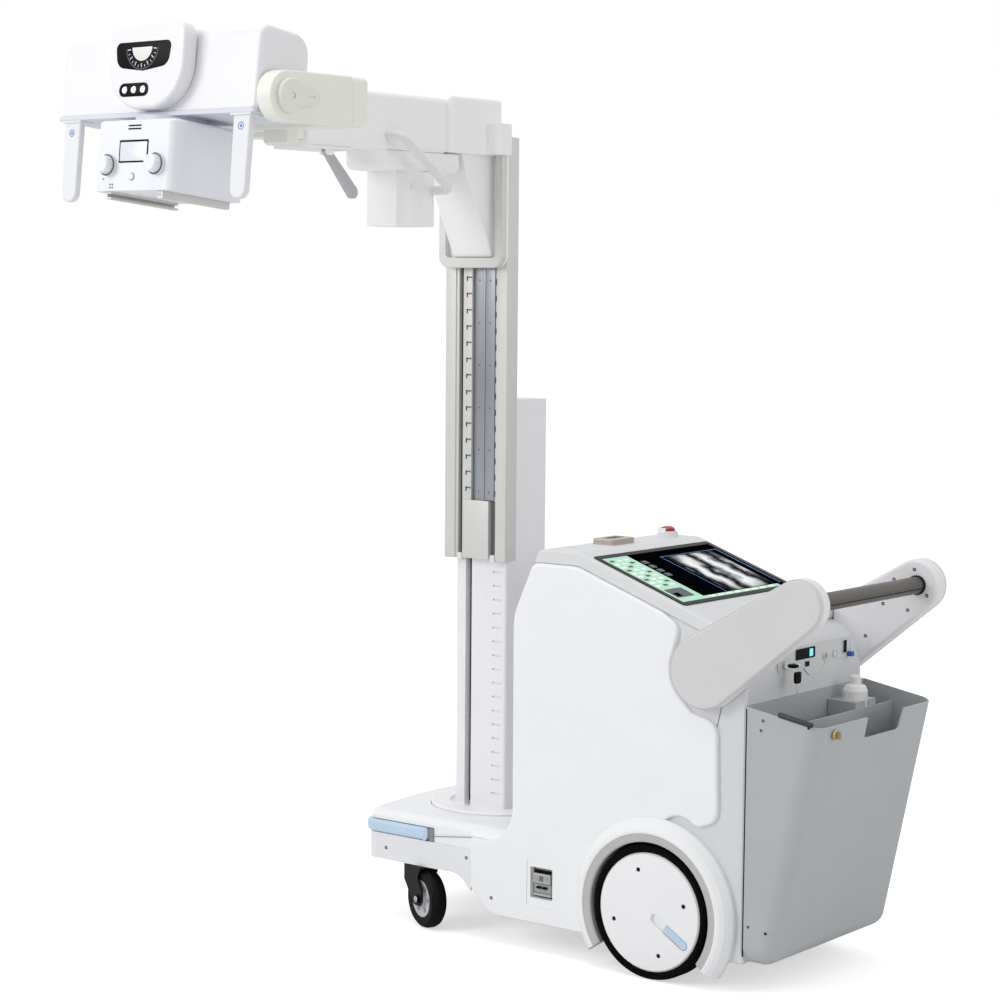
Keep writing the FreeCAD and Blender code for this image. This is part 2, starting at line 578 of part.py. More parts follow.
def bin_shell():
    """Open-topped moulded bin on the back of the cabinet."""
    shell = bin_form(0, BIN_FOOT_R, BIN_EDGE_R, BIN_REAR_TOP)
    inside = bin_form(BIN_WALL, BIN_FOOT_R - BIN_WALL, BIN_EDGE_R - BIN_WALL, BIN_REAR_TOP + 40)
    shell = shell.cut(inside)
    low = BIN_REAR_TOP - NOTCH_DEEP
    notch = prism([(NOTCH_NEAR, low, 8), (NOTCH_FAR, low, 8), (NOTCH_FAR + 14, BIN_REAR_TOP + 40, 0),
                   (NOTCH_NEAR - 2, BIN_REAR_TOP + 40, 0)], "yz", BIN_REAR - 40, BIN_REAR + 20)
    z = BIN_REAR_TOP - LOCK_DROP
    lock = rod((BIN_REAR - 26, LOCK_Y, z), (BIN_REAR + 9, LOCK_Y, z), LOCK_R + RUN)
    return shell.cut(notch).cut(lock)


def bin_divider():
    """Cross wall in the bin, with the bottle holder on its front."""
    low, high = BIN_LOW + BIN_WALL, BIN_REAR_TOP - DIVIDER_DROP
    half = BIN_HALF - BIN_WALL - EPS
    near = BIN_FRONT + BIN_WALL + EPS
    foot = BIN_REAR_LOW - BIN_FOOT_R - DIVIDER_THICK
    wall = prism([(foot, low, 0), (foot + DIVIDER_THICK, low, 0),
                  (DIVIDER_X + DIVIDER_THICK, high - 120, 40), (DIVIDER_X + DIVIDER_THICK, high, 0),
                  (DIVIDER_X, high, 0), (DIVIDER_X, high - 120, 40)], "xz", -half, half)
    top = BIN_REAR_TOP + 4
    holder = prism(rect(near, DIVIDER_X, BOTTLE_Y - HOLDER_HALF, BOTTLE_Y + HOLDER_HALF, 3), "xy",
                   top - HOLDER_TALL, top)
    holder = holder.cut(rod((BOTTLE_X, BOTTLE_Y, top - HOLDER_TALL + 5),
                            (BOTTLE_X, BOTTLE_Y, top + 5), BOTTLE_R + SEAT))
    room = bin_form(BIN_WALL + EPS, BIN_FOOT_R - BIN_WALL - EPS, BIN_EDGE_R - BIN_WALL - EPS,
                    BIN_REAR_TOP + 40)
    return wall.fuse(holder).removeSplitter().common(room)


def bottle():
    """White disinfectant bottle standing in its holder."""
    z = BIN_REAR_TOP + 4 - HOLDER_TALL + 5
    shoulder = z + BOTTLE_TALL - 24
    profile = [(0, z), (BOTTLE_R - 3, z), (BOTTLE_R, z + 3), (BOTTLE_R, shoulder - 12),
               (BOTTLE_R - 6, shoulder), (14, shoulder + 4), (14, z + BOTTLE_TALL - 3),
               (12, z + BOTTLE_TALL), (0, z + BOTTLE_TALL)]
    return turned(profile, (BOTTLE_X, BOTTLE_Y, 0), (0, 0, 1))


def bin_lock():
    """Brass cam lock in the rear wall of the bin."""
    z = BIN_REAR_TOP - LOCK_DROP
    lean = (BIN_REAR - BIN_REAR_LOW) / (BIN_REAR_TOP - BIN_LOW)
    face = BIN_REAR - lean * (LOCK_DROP - LOCK_R - 5) + SEAT
    barrel = rod((face - 18, LOCK_Y, z), (face + 2, LOCK_Y, z), LOCK_R)
    head = turned([(0, 0), (LOCK_R + 4, 0), (LOCK_R + 4, 3), (LOCK_R + 1, 6), (0, 6)],
                  (face, LOCK_Y, z), (1, 0, 0))
    tab = block(face + 5, face + 17, LOCK_Y - 2, LOCK_Y + 2, z - 9, z + 9)
    cam = block(face - 19, face - 16, LOCK_Y - 7, LOCK_Y + 7, z - 26, z + 7)
    return barrel.fuse([head, tab, cam])


# Running gear

def drive_tyre(side):
    """Solid rubber tyre of a drive wheel."""
    out, inner = WHEEL_OUT, WHEEL_OUT - TYRE_WIDE
    profile = [(RIM_R, out - 5), (RIM_R + 4, out), (WHEEL_R - 7, out), (WHEEL_R - 2, out - 4),
               (WHEEL_R, out - 12), (WHEEL_R, inner + 12), (WHEEL_R - 2, inner + 4),
               (WHEEL_R - 7, inner), (RIM_R + 4, inner), (RIM_R, inner + 5)]
    tyre = turned(profile, (0, 0, WHEEL_R), (0, 1, 0))
    return tyre if side > 0 else mirrored(tyre)


def wheel_disc(side):
    """Wheel disc with its hub bore, four countersunk screw seats and the lever's slot."""
    out, inner = WHEEL_OUT, WHEEL_OUT - TYRE_WIDE
    rim = RIM_R - RUN
    profile = [(0, out - 20), (AXLE_R + RUN, out - 20), (AXLE_R + RUN, inner + 2), (44, inner + 2),
               (44, inner + 20), (rim - 14, inner + 26), (rim - 10, inner + 5), (rim, inner + 5),
               (rim, out - 5), (rim - 4, out - 1), (rim - 40, out + 1), (0, out + HUB_DISH - 2)]
    disc = turned(profile, (0, 0, WHEEL_R), (0, 1, 0))
    for i in range(4):
        angle = math.radians(17 + 90 * i)
        x, z = WHEEL_SCREW_PCD / 2 * math.cos(angle), WHEEL_R + WHEEL_SCREW_PCD / 2 * math.sin(angle)
        disc = disc.cut(rod((x, out - 4, z), (x, out + 9, z), 6))
        disc = disc.fuse(turned([(0, 0), (5, 0), (5, 1.6), (3.4, 2.6), (0, 2.6)],
                                (x, out - 4, z), (0, 1, 0)))
    reach = LEVER_REACH + LEVER_WIDE / 2 + 2
    half = LEVER_WIDE / 2 + 2
    slot = prism(rect(10, reach, -half, half, half - 0.1), "xz", out - LEVER_SUNK, out + 20)
    pin = rod((LEVER_HINGE, out - LEVER_THICK_R, -half - 4),
              (LEVER_HINGE, out - LEVER_THICK_R, half + 4), LEVER_PIN_R + RUN)
    disc = disc.cut(on_disc(slot.fuse(pin)))
    return disc if side > 0 else mirrored(disc)


def on_disc(shape):
    """Turn a piece, drawn along X, to the slot's angle on the wheel."""
    return shape.rotated(V(0, 0, 0), V(0, 1, 0), -LEVER_ANGLE).translated(V(0, 0, WHEEL_R))


def clutch_lever(side):
    """Light blue lever that frees a drive wheel, hinged in the disc's slot."""
    half, thick = LEVER_WIDE / 2, LEVER_THICK_R
    base = WHEEL_OUT - 2 * thick
    blade = prism([(LEVER_HINGE, -half, 0), (LEVER_REACH + half, -half, half - 0.1),
                   (LEVER_REACH + half, half, half - 0.1), (LEVER_HINGE, half, 0)], "xz",
                  base, WHEEL_OUT)
    y = WHEEL_OUT - thick
    barrel = rod((LEVER_HINGE, y, -half), (LEVER_HINGE, y, half), thick)
    pin = rod((LEVER_HINGE, y, -half - 5), (LEVER_HINGE, y, half + 5), LEVER_PIN_R)
    lever = on_disc(blade.fuse([barrel, pin]))
    return lever if side > 0 else mirrored(lever)


def swivelled(shape, side):
    """Turn a caster piece, drawn straight, to its angle at rest and to its side."""
    shape = shape.rotated(V(0, 0, 0), V(0, 0, 1), -CASTER_TURN if side < 0 else CASTER_TURN)
    return shape.translated(V(CASTER_X, side * CASTER_Y, 0))


def caster_plates():
    """Caster top plates with their bearing housings, bolted under the foot."""
    solids = []
    low, high = CROWN_TOP + SEAT, PLATE_LOW - 6
    bore, out = KINGPIN_R + RUN, CASTER_HOUSING_R
    for side in (-1, 1):
        inner, outer = sorted((side * out, -side * (out + 12)))
        plate = prism(rect(-50, 50, inner, outer, 8), "xy", high, PLATE_LOW)
        housing = turned([(bore, low), (out - 4, low), (out, low + 5), (out, high - 4),
                          (out - 3, high), (bore, high)], (0, 0, 0), (0, 0, 1))
        hole = rod((0, 0, high - 1), (0, 0, PLATE_LOW + 1), bore)
        solids.append(plate.fuse(housing).cut(hole).translated(V(CASTER_X, side * CASTER_Y, 0)))
    return Part.makeCompound(solids)


def caster_fork(side):
    """Pressed black fork with its kingpin and axle bolt."""
    gap = CASTER_WIDE / 2 + 3
    out = gap + CHEEK_THICK
    cheek = prism([(-52, CROWN_TOP, 0), (-48, 118, 14), (CASTER_TRAIL - 20, CASTER_R - 18, 18),
                   (CASTER_TRAIL + 20, CASTER_R - 18, 18), (CASTER_TRAIL + 22, CASTER_R + 20, 10),
                   (CASTER_TRAIL - 4, 130, 12), (44, CROWN_TOP, 0)], "xz", 0, CHEEK_THICK)
    crown = prism(rect(-52, 44, -out, out, 10), "xy", CROWN_TOP - CROWN_THICK, CROWN_TOP)
    fork = crown.fuse([cheek.translated(V(0, gap, 0)), cheek.translated(V(0, -out, 0))])
    fork = fork.common(prism(rect(-52, 60, -out, out, 10), "xy", 0, CROWN_TOP))
    kingpin = rod((0, 0, CROWN_TOP - 1), (0, 0, PLATE_LOW - 1), KINGPIN_R)
    axle = rod((CASTER_TRAIL, -out, CASTER_R), (CASTER_TRAIL, out, CASTER_R), CASTER_AXLE_R)
    heads = [rod((CASTER_TRAIL, s * (out - 1), CASTER_R), (CASTER_TRAIL, s * (out + 6), CASTER_R), 11)
             for s in (-1, 1)]
    return swivelled(fork.fuse([kingpin, axle] + heads).removeSplitter(), side)


def caster_wheel(side):
    """Caster wheel: a spoked silver hub inside a black tyre."""
    half, rim, centre = CASTER_WIDE / 2, CASTER_HUB_R, (CASTER_TRAIL, 0, CASTER_R)
    tyre = turned([(rim + RUN, -half + 3), (rim + 4, -half), (CASTER_R - 10, -half),
                   (CASTER_R - 3, -half + 6), (CASTER_R, -half + 14), (CASTER_R, half - 14),
                   (CASTER_R - 3, half - 6), (CASTER_R - 10, half), (rim + 4, half),
                   (rim + RUN, half - 3)], centre, (0, 1, 0))
    bore = CASTER_AXLE_R + RUN
    hub = turned([(bore, -half - 2.5), (16, -half - 2.5), (18, -half + 2), (20, -half + 7),
                  (rim - 6, -half + 5), (rim, -half + 3), (rim, half - 3), (rim - 6, half - 5),
                  (20, half - 7), (18, half - 2), (16, half + 2.5), (bore, half + 2.5)],
                 centre, (0, 1, 0))
    for i in range(6):
        for low, high in ((-half - 3, -half + 11), (half - 11, half + 3)):
            pocket = prism([(22, -2, 1), (rim - 9, -9, 4), (rim - 9, 9, 4), (22, 2, 1)], "xz",
                           low, high)
            pocket = pocket.rotated(V(0, 0, 0), V(0, 1, 0), 60 * i)
            hub = hub.cut(pocket.translated(V(*centre)))
    return swivelled(Part.makeCompound([tyre, hub]), side)


# Foot

def foot_prism(grow, low, high, back):
    """Solid of the foot's plan, from its curved front to a straight back, grown by grow."""
    corner, front, half = FOOT_CORNER - grow, FOOT_FRONT - grow, FOOT_HALF + grow
    edges = [
        Part.LineSegment(V(back, -half, low), V(corner, -half, low)).toShape(),
        Part.Arc(V(corner, -half, low), V(front, 0, low), V(corner, half, low)).toShape(),
        Part.LineSegment(V(corner, half, low), V(back, half, low)).toShape(),
        Part.LineSegment(V(back, half, low), V(back, -half, low)).toShape(),
    ]
    form = Part.Face(Part.Wire(edges)).extrude(V(0, 0, high - low))
    return soften(form, FOOT_CORNER_R + grow,
                  lambda c: abs(c.x - corner) < 0.1 and abs(abs(c.y) - half) < 0.1)


def foot_skirt():
    """White skirt round the foot, its lower edge curving down to the cabinet."""
    skirt = foot_prism(0, BODY_BOTTOM + 50, SKIRT_TOP, FOOT_SEAM)
    skirt = skirt.cut(foot_prism(-FOOT_WALL, 0, SKIRT_TOP + 5, FOOT_SEAM + 5))
    under = prism([(-1000, 0, 0), (-540, 0, 0), (-540, 100, 0), (-600, FOOT_LOW, 60),
                   (-1000, FOOT_LOW, 0)], "xz", -400, 400)
    return skirt.cut(under)


def foot_hood():
    """White top cover of the foot, with the round opening for the turntable."""
    back = BODY_FRONT - EPS
    hood = foot_prism(-3, HOOD_LOW, HOOD_TOP, back)
    hood = soften(hood, HOOD_EDGE_R, lambda c: c.z > HOOD_TOP - 0.1 and c.x < back - 1)
    inside = foot_prism(-3 - FOOT_WALL, HOOD_LOW - 5, HOOD_TOP - FOOT_WALL, back - FOOT_WALL)
    inside = soften(inside, HOOD_EDGE_R - FOOT_WALL,
                    lambda c: c.z > HOOD_TOP - FOOT_WALL - 0.1 and c.x < back - FOOT_WALL - 1)
    hood = hood.cut(inside)
    rear_lip = foot_prism(-3, SKIRT_TOP + EPS, HOOD_LOW, back)
    rear_lip = rear_lip.cut(foot_prism(-3 - FOOT_WALL, SKIRT_TOP - 5, HOOD_LOW + 5, back + 5))
    rear_lip = rear_lip.cut(block(-1000, BUMPER_END + 26, -400, 400, 0, 400))
    hood = hood.fuse(rear_lip)
    hood = hood.cut(rod((COLUMN_X, 0, 200), (COLUMN_X, 0, 400), TURN_R + 2))
    half = COVER_OUT + 2
    clear = block(FOOT_SEAM, back + 5, -half, -BODY_HALF + EPS, 200, 400)
    return hood.cut(clear).cut(mirrored(clear)).removeSplitter()


def bumper():
    """Light blue bumper bar wrapped round the front of the foot."""
    low = (SKIRT_TOP + HOOD_LOW - BUMPER_TALL) / 2
    bar = foot_prism(BUMPER_PROUD, low, low + BUMPER_TALL, BUMPER_END)
    bar = soften(bar, 9, lambda c: c.x < BUMPER_END - 1)
    bar = bar.cut(foot_prism(BUMPER_PROUD - BUMPER_THICK, low - 5, low + BUMPER_TALL + 5,
                             BUMPER_END + 5))
    middle = low + BUMPER_TALL / 2
    for side in (-1, 1):
        y = side * (FOOT_HALF + BUMPER_PROUD - BUMPER_THICK / 2)
        bar = bar.cut(rod((BUMPER_END - 40, y, middle), (BUMPER_END + 5, y, middle),
                          BUMPER_PIN_R + RUN))
    return bar


def bumper_mounts():
    """Brackets and guide pins that carry the ends of the bumper."""
    low = SKIRT_TOP + EPS
    middle = (SKIRT_TOP + HOOD_LOW) / 2
    x = BUMPER_END + BUMPER_TRAVEL + 2
    pieces = []
    for side in (-1, 1):
        outer = side * (FOOT_HALF + 1)
        inner = side * (FOOT_HALF - 26)
        y0, y1 = min(outer, inner), max(outer, inner)
        pieces.append(block(x, x + 14, y0, y1, low, HOOD_LOW - 2))
        foot = side * (FOOT_HALF - 6)
        y0, y1 = min(foot, inner), max(foot, inner)
        pieces.append(block(x, x + 14, y0, y1, PLATE_LOW + PLATE_THICK - 2, low + 2))
        y = side * (FOOT_HALF + BUMPER_PROUD - BUMPER_THICK / 2)
        pieces.append(rod((x - 34, y, middle), (x + 2, y, middle), BUMPER_PIN_R))
    return pieces


# Chassis and power

def chassis():
    """Welded frame: foot plate, deck plate, side rails, column boss and stub axles."""
    top = PLATE_LOW + PLATE_THICK
    foot = foot_prism(-FOOT_WALL - 2, PLATE_LOW, top, -470)
    for side in (-1, 1):
        y0, y1 = sorted((side * (BODY_HALF - 2), side * 400))
        foot = foot.cut(block(FOOT_SEAM - 2, 0, y0, y1, 0, 400))
    boss = rod((COLUMN_X, 0, top - 1), (COLUMN_X, 0, TURN_TOP - TURN_THICK), TURN_R - 60)
    plate = block(-520, BODY_REAR - 14, -RAIL_OUT_Y, RAIL_OUT_Y, DECKPLATE_LOW,
                  DECKPLATE_LOW + DECKPLATE_THICK)
    rails = []
    for side in (-1, 1):
        y0, y1 = sorted((side * RAIL_IN_Y, side * RAIL_OUT_Y))
        rails.append(prism([(-520, DECKPLATE_LOW, 0), (-300, DECKPLATE_LOW, 0), (-300, 120, 0),
                            (-470, top, 0), (-520, top, 0)], "xz", y0, y1))
        y0, y1 = sorted((side * (RAIL_OUT_Y + 6), side * (RAIL_OUT_Y - 16)))
        rails.append(prism([(-70, DECKPLATE_LOW, 0), (70, DECKPLATE_LOW, 0),
                            (34, WHEEL_R + 42, 20), (-34, WHEEL_R + 42, 20)], "xz", y0, y1))
        rails.append(rod((0, side * (RAIL_OUT_Y - 10), WHEEL_R), (0, side * (WHEEL_OUT - 21), WHEEL_R),
                         AXLE_R))
    frame = foot.fuse([boss, plate] + rails + bumper_mounts())
    frame = frame.cut(rod((COLUMN_X, 0, 100), (COLUMN_X, 0, 400), SPIGOT_R + RUN))
    return frame.removeSplitter()


def power_unit():
    """Battery pack, x-ray generator tank and the two drive gearmotors on the deck plate."""
    floor = DECKPLATE_LOW + DECKPLATE_THICK
    x0, x1, half, tall = BATTERY
    battery = prism(rect(x0, x1, -half, half, 10), "xy", floor, floor + tall)
    top = floor + tall
    x0, x1, half, tall = GENERATOR
    tank = prism(rect(x0, x1, -half, half, 30), "xy", top, top + tall)
    lid = prism(rect(x0 - 8, x1 + 8, -half - 8, half + 8, 36), "xy", top + tall, top + tall + 12)
    motors = []
    for side in (-1, 1):
        start, end = side * 184, side * (184 - MOTOR_LONG)
        motors.append(rod((0, start, WHEEL_R), (0, end, WHEEL_R), MOTOR_R))
    return Part.makeCompound([battery, tank.fuse(lid)] + motors)


# Column

def at_column(shape):
    """Move a piece drawn about the column's axis to its place."""
    return shape.translated(V(COLUMN_X, 0, 0))


def turntable():
    """White turntable ring with its spigot in the column boss."""
    low = TURN_TOP - TURN_THICK + SEAT
    profile = [(0, 150), (SPIGOT_R, 150), (SPIGOT_R, low), (TURN_R - 6, low), (TURN_R, low + 4),
               (TURN_R, TURN_TOP - 4), (TURN_R - 5, TURN_TOP), (TURN_R - 48, TURN_TOP),
               (TURN_R - 50, TURN_TOP - 8), (0, TURN_TOP - 8)]
    return at_column(turned(profile, (0, 0, 0), (0, 0, 1)))


def mast():
    """Fixed mast: extruded box with a cable groove and a ladder of slots down its front."""
    low = TURN_TOP - 8
    post = prism(rect(-MAST_HALF_X, MAST_HALF_X, -MAST_HALF_Y, MAST_HALF_Y, 8), "xy", low, MAST_TOP)
    inner = prism(rect(-MAST_HALF_X + MAST_WALL, MAST_HALF_X - MAST_WALL,
                       -MAST_HALF_Y + MAST_GROOVE_DEEP + MAST_WALL, MAST_HALF_Y - MAST_WALL, 6),
                  "xy", low - 1, MAST_TOP - MAST_WALL)
    post = post.cut(inner)
    half = MAST_GROOVE_WIDE / 2
    post = post.cut(block(MAST_GROOVE - half, MAST_GROOVE + half, -MAST_HALF_Y - 1,
                          -MAST_HALF_Y + MAST_GROOVE_DEEP, low - 1, MAST_TOP - 20))
    count = int((MAST_TOP - low - 60) / LADDER_PITCH)
    for i in range(count):
        z = low + 40 + i * LADDER_PITCH
        post = post.cut(block(LADDER_X - LADDER_WIDE / 2, LADDER_X + LADDER_WIDE / 2,
                              -MAST_HALF_Y - 1, -MAST_HALF_Y + 4, z, z + LADDER_SLOT))
    return at_column(post)


def stage_channel():
    """Upper stage: extruded channel that wraps the front of the mast."""
    outer = prism(rect(-STAGE_HALF, STAGE_HALF, STAGE_FRONT, STAGE_BACK, 7), "xy", STAGE_LOW,
                  STAGE_TOP)
    mast_half = MAST_HALF_X + SLIDE
    behind = block(-mast_half, mast_half, -MAST_HALF_Y - SLIDE, 0, STAGE_LOW - 1, STAGE_TOP - 6)
    recess = block(-CHANNEL_HALF, CHANNEL_HALF, STAGE_FRONT - 1, STAGE_FRONT + CHANNEL_DEEP,
                   STAGE_LOW - 1, STAGE_TOP + 1)
    stage = outer.cut(behind).cut(recess)
    groove = block(-CHANNEL_HALF - 26, -CHANNEL_HALF - 22, STAGE_FRONT - 1, STAGE_FRONT + 3,
                   STAGE_LOW - 1, STAGE_TOP + 1)
    stage = stage.cut(groove)
    count = int((STAGE_TOP - STAGE_LOW - 40) / LADDER_PITCH)
    middle = (CHANNEL_HALF + STAGE_HALF) / 2 - 4
    for i in range(count):
        z = STAGE_LOW + 30 + i * LADDER_PITCH
        stage = stage.cut(block(middle - LADDER_WIDE / 2, middle + LADDER_WIDE / 2,
                                STAGE_FRONT - 1, STAGE_FRONT + 4, z, z + LADDER_SLOT))
    cover = prism(rect(-STAGE_COVER_HALF, STAGE_COVER_HALF, STAGE_LOW, STAGE_COVER_TOP, 5), "xz",
                  STAGE_FRONT + 2, STAGE_FRONT + CHANNEL_DEEP)
    return at_column(stage.fuse(cover).removeSplitter())


def stage_rails():
    """Two aluminium guide rails and their web, in the stage's front channel."""
    back = STAGE_FRONT + CHANNEL_DEEP
    low, high = STAGE_COVER_TOP + EPS, STAGE_TOP - 12
    face = back - RAIL_TALL
    half = [(0, back, 0), (0, back - 3, 0), (RAIL_IN, back - 3, 0), (RAIL_IN, face, 1),
            (RAIL_IN + 8, face, 1), (RAIL_IN + 9, face + 3, 0), (RAIL_OUT - 9, face + 3, 0),
            (RAIL_OUT - 8, face, 1), (RAIL_OUT, face, 1), (RAIL_OUT, back, 0)]
    right = prism(half, "xy", low, high)
    left = right.mirror(V(0, 0, 0), V(1, 0, 0))
    return at_column(right.fuse(left).removeSplitter())


# Carriage and arm

def carriage_bezel():
    """Beige frame round the carriage, rounded at its lower corners."""
    front = STAGE_FRONT - 2 - BACKPLATE_THICK - BEZEL_THICK
    back = STAGE_FRONT - 2 - BACKPLATE_THICK
    bar = BEZEL_BAR
    outer = [(-CARRIAGE_HALF, CARRIAGE_LOW, 32), (CARRIAGE_HALF, CARRIAGE_LOW, 32),
             (CARRIAGE_HALF, CARRIAGE_TOP, 0), (-CARRIAGE_HALF, CARRIAGE_TOP, 0)]
    inner = [(-CARRIAGE_HALF + bar, CARRIAGE_LOW + bar + 4, 12),
             (CARRIAGE_HALF - bar, CARRIAGE_LOW + bar + 4, 12),
             (CARRIAGE_HALF - bar, CARRIAGE_TOP + 5, 0), (-CARRIAGE_HALF + bar, CARRIAGE_TOP + 5, 0)]
    frame = prism(outer, "xz", front, back)
    frame = soften(frame, 3, lambda c: c.y < front + 0.1 and c.z < CARRIAGE_TOP - 1)
    return at_column(frame.cut(prism(inner, "xz", front - 5, back + 5)))


def carriage():
    """Cast carriage: back plate with rail shoes, gusset, collar and headstock."""
    back = STAGE_FRONT - 2
    front = back - BACKPLATE_THICK
    plate = prism([(-CARRIAGE_HALF, CARRIAGE_LOW, 32), (CARRIAGE_HALF, CARRIAGE_LOW, 32),
                   (CARRIAGE_HALF, CARRIAGE_TOP, 0), (-CARRIAGE_HALF, CARRIAGE_TOP, 0)],
                  "xz", front, back)
    rail_face = STAGE_FRONT + CHANNEL_DEEP - RAIL_TALL
    shoes = []
    for z in (CARRIAGE_LOW + 40, CARRIAGE_TOP - 110):
        tongue = block(-CHANNEL_HALF + 3, CHANNEL_HALF - 3, back, rail_face - SLIDE, z, z + 70)
        keel = block(-RAIL_IN + SLIDE, RAIL_IN - SLIDE, back, rail_face + 7, z, z + 70)
        shoes.append(tongue.fuse(keel))
    side = [(front, CARRIAGE_LOW + 27, 0), (front - 8, CARRIAGE_LOW + 27, 6), (-236, 1923, 30),
            (-250, CARRIAGE_TOP, 0), (front, CARRIAGE_TOP, 0)]
    gusset = prism(side, "yz", -GUSSET_HALF, GUSSET_HALF)
    hollow = prism([(front + 1, CARRIAGE_LOW + 50, 0), (front - 6, CARRIAGE_LOW + 50, 0),
                    (-226, 1923, 30), (-240, CARRIAGE_TOP - 6, 0), (front + 1, CARRIAGE_TOP - 6, 0)],
                   "yz", -GUSSET_HALF + 6, GUSSET_HALF - 6)
    gusset = soften(gusset, 5, lambda c: abs(abs(c.x) - GUSSET_HALF) < 0.1 and c.y < front - 6
                    and c.z < 1930).cut(hollow)
    collar = prism(rect(-COLLAR_HALF, COLLAR_HALF, COLLAR_FRONT, back, 12), "xy", CARRIAGE_TOP,
                   COLLAR_TOP)
    stock = prism(rect(-HEADSTOCK_HALF, HEADSTOCK_HALF, HEADSTOCK_FRONT, back, 12), "xy",
                  CARRIAGE_TOP, HEADSTOCK_TOP)
    stock = soften(stock, 8, lambda c: c.z > HEADSTOCK_TOP - 0.1)
    inside = block(-HEADSTOCK_HALF + 8, HEADSTOCK_HALF - 8, HEADSTOCK_FRONT + 8, back - 8,
                   CARRIAGE_TOP + 8, HEADSTOCK_TOP - 8)
    body = plate.fuse(shoes + [gusset, collar, stock]).cut(inside)
    return at_column(body.removeSplitter())


def arm_section(half, tall, start, end, radius):
    """Rounded box section along Y about the arm's axis."""
    return prism(rect(-half, half, ARM_Z - tall / 2, ARM_Z + tall / 2, radius), "xz", start, end)


def inner_size():
    """Half width and height of the sliding inner arm."""
    return HOUSING_HALF - HOUSING_WALL - SLIDE, HOUSING_TALL - 2 * HOUSING_WALL - 2 * SLIDE


def arm_housing():
    """Arm housing with its lower pan, the parking bracket and the lever's ears."""
    tube = arm_section(HOUSING_HALF, HOUSING_TALL, HOUSING_END, HEADSTOCK_FRONT, 14)
    bore = arm_section(HOUSING_HALF - HOUSING_WALL, HOUSING_TALL - 2 * HOUSING_WALL,
                       HOUSING_END - 1, HEADSTOCK_FRONT - 10, 8)
    tube = tube.cut(bore)
    floor = ARM_Z - HOUSING_TALL / 2
    pan = prism([(-PAN_HALF, PAN_BACK, 4), (PAN_HALF, PAN_BACK, 4), (PAN_HALF, PAN_END, 50),
                 (-PAN_HALF, PAN_END, 50)], "xy", floor - PAN_DEEP, floor)
    pan = soften(pan, 18, lambda c: c.z < floor - PAN_DEEP + 0.1 and c.y < PAN_BACK - 3)
    pan = pan.cut(block(-200, 200, -262, 0, 1700, 2000))
    park = prism(rect(-PARK_HALF, PARK_HALF, PARK_FRONT, PARK_BACK, 6), "xy", PARK_LOW,
                 floor - PAN_DEEP)
    scoop = Part.makeCylinder(60, 140, V(PARK_HALF + 34, PARK_FRONT + 44, PARK_LOW - 5), V(0, 0, 1))
    screw = rod((PARK_HALF - 30, PARK_FRONT + 75, 1876), (PARK_HALF - 15, PARK_FRONT + 75, 1876), 7)
    park = park.cut(scoop).fuse(screw)
    ears = []
    for s in (-1, 1):
        x0, x1 = sorted((s * (LEVER_THICK / 2 + SEAT), s * (LEVER_THICK / 2 + 8)))
        ear = prism([(LEVER_PIVOT_Y - 14, floor, 0), (LEVER_PIVOT_Y - 9, floor - 20, 8),
                     (LEVER_PIVOT_Y + 9, floor - 20, 8), (LEVER_PIVOT_Y + 14, floor, 0)],
                    "yz", x0 + LEVER_X, x1 + LEVER_X)
        ears.append(ear)
    plate = prism(rect(-60, 60, HOUSING_END + 4, PAN_END - 70, 30), "xy", floor - 7, floor)
    pin = rod((LEVER_X - 12, LEVER_PIVOT_Y, floor - 11), (LEVER_X + 12, LEVER_PIVOT_Y, floor - 11), 4)
    plate = plate.cut(block(LEVER_X - LEVER_THICK / 2 - SEAT, LEVER_X + LEVER_THICK / 2 + SEAT,
                            LEVER_PIVOT_Y - 26, LEVER_PIVOT_Y + 60, floor - 10, floor + 10))
    tube = tube.fuse([plate, pin] + ears)
    return at_column(Part.makeCompound([tube, pan.fuse(park)]))


def arm_lever():
    """Brake lever that hangs under the arm on its pivot."""
    floor = ARM_Z - HOUSING_TALL / 2
    z = floor - 11
    blade = capsule("yz", (0, 0), 9, (LEVER_LEN, 0), LEVER_BLADE / 2, -LEVER_THICK / 2,
                    LEVER_THICK / 2)
    blade = blade.cut(rod((-20, 0, 0), (20, 0, 0), 4 + RUN))
    blade = blade.rotated(V(0, 0, 0), V(1, 0, 0), -46)
    return at_column(blade.translated(V(LEVER_X, LEVER_PIVOT_Y, z)))


def grab_handle():
    """Bent tube handle on the rear side of the arm."""
    x0, x1 = HOUSING_HALF, HOUSING_HALF + 42
    high, low = (-540.0, ARM_Z - 34), (-352.0, 1872.0)
    corner = V(x1, high[0], high[1])
    lower = V(x1, low[0], low[1])
    along = (lower - corner).normalize()
    bend = 26.0
    start = V(x0, high[0], high[1])
    end = V(PARK_HALF, low[0], low[1])
    step_in = V(-1, 0, 0)
    edges = []
    points = []
    for point, back, ahead in ((corner, step_in, along), (lower, along * -1, step_in)):
        half = back.getAngle(ahead) / 2
        reach = bend / math.tan(half)
        middle = point + (back + ahead).normalize() * (bend / math.sin(half) - bend)
        points.append((point + back * reach, middle, point + ahead * reach))
    edges.append(Part.LineSegment(start, points[0][0]).toShape())
    edges.append(Part.Arc(*points[0]).toShape())
    edges.append(Part.LineSegment(points[0][2], points[1][0]).toShape())
    edges.append(Part.Arc(*points[1]).toShape())
    edges.append(Part.LineSegment(points[1][2], end).toShape())
    ring = Part.Wire([Part.makeCircle(GRAB_R, start, V(1, 0, 0))])
    tube = Part.Wire(edges).makePipeShell([ring], True, True)
    return at_column(tube)


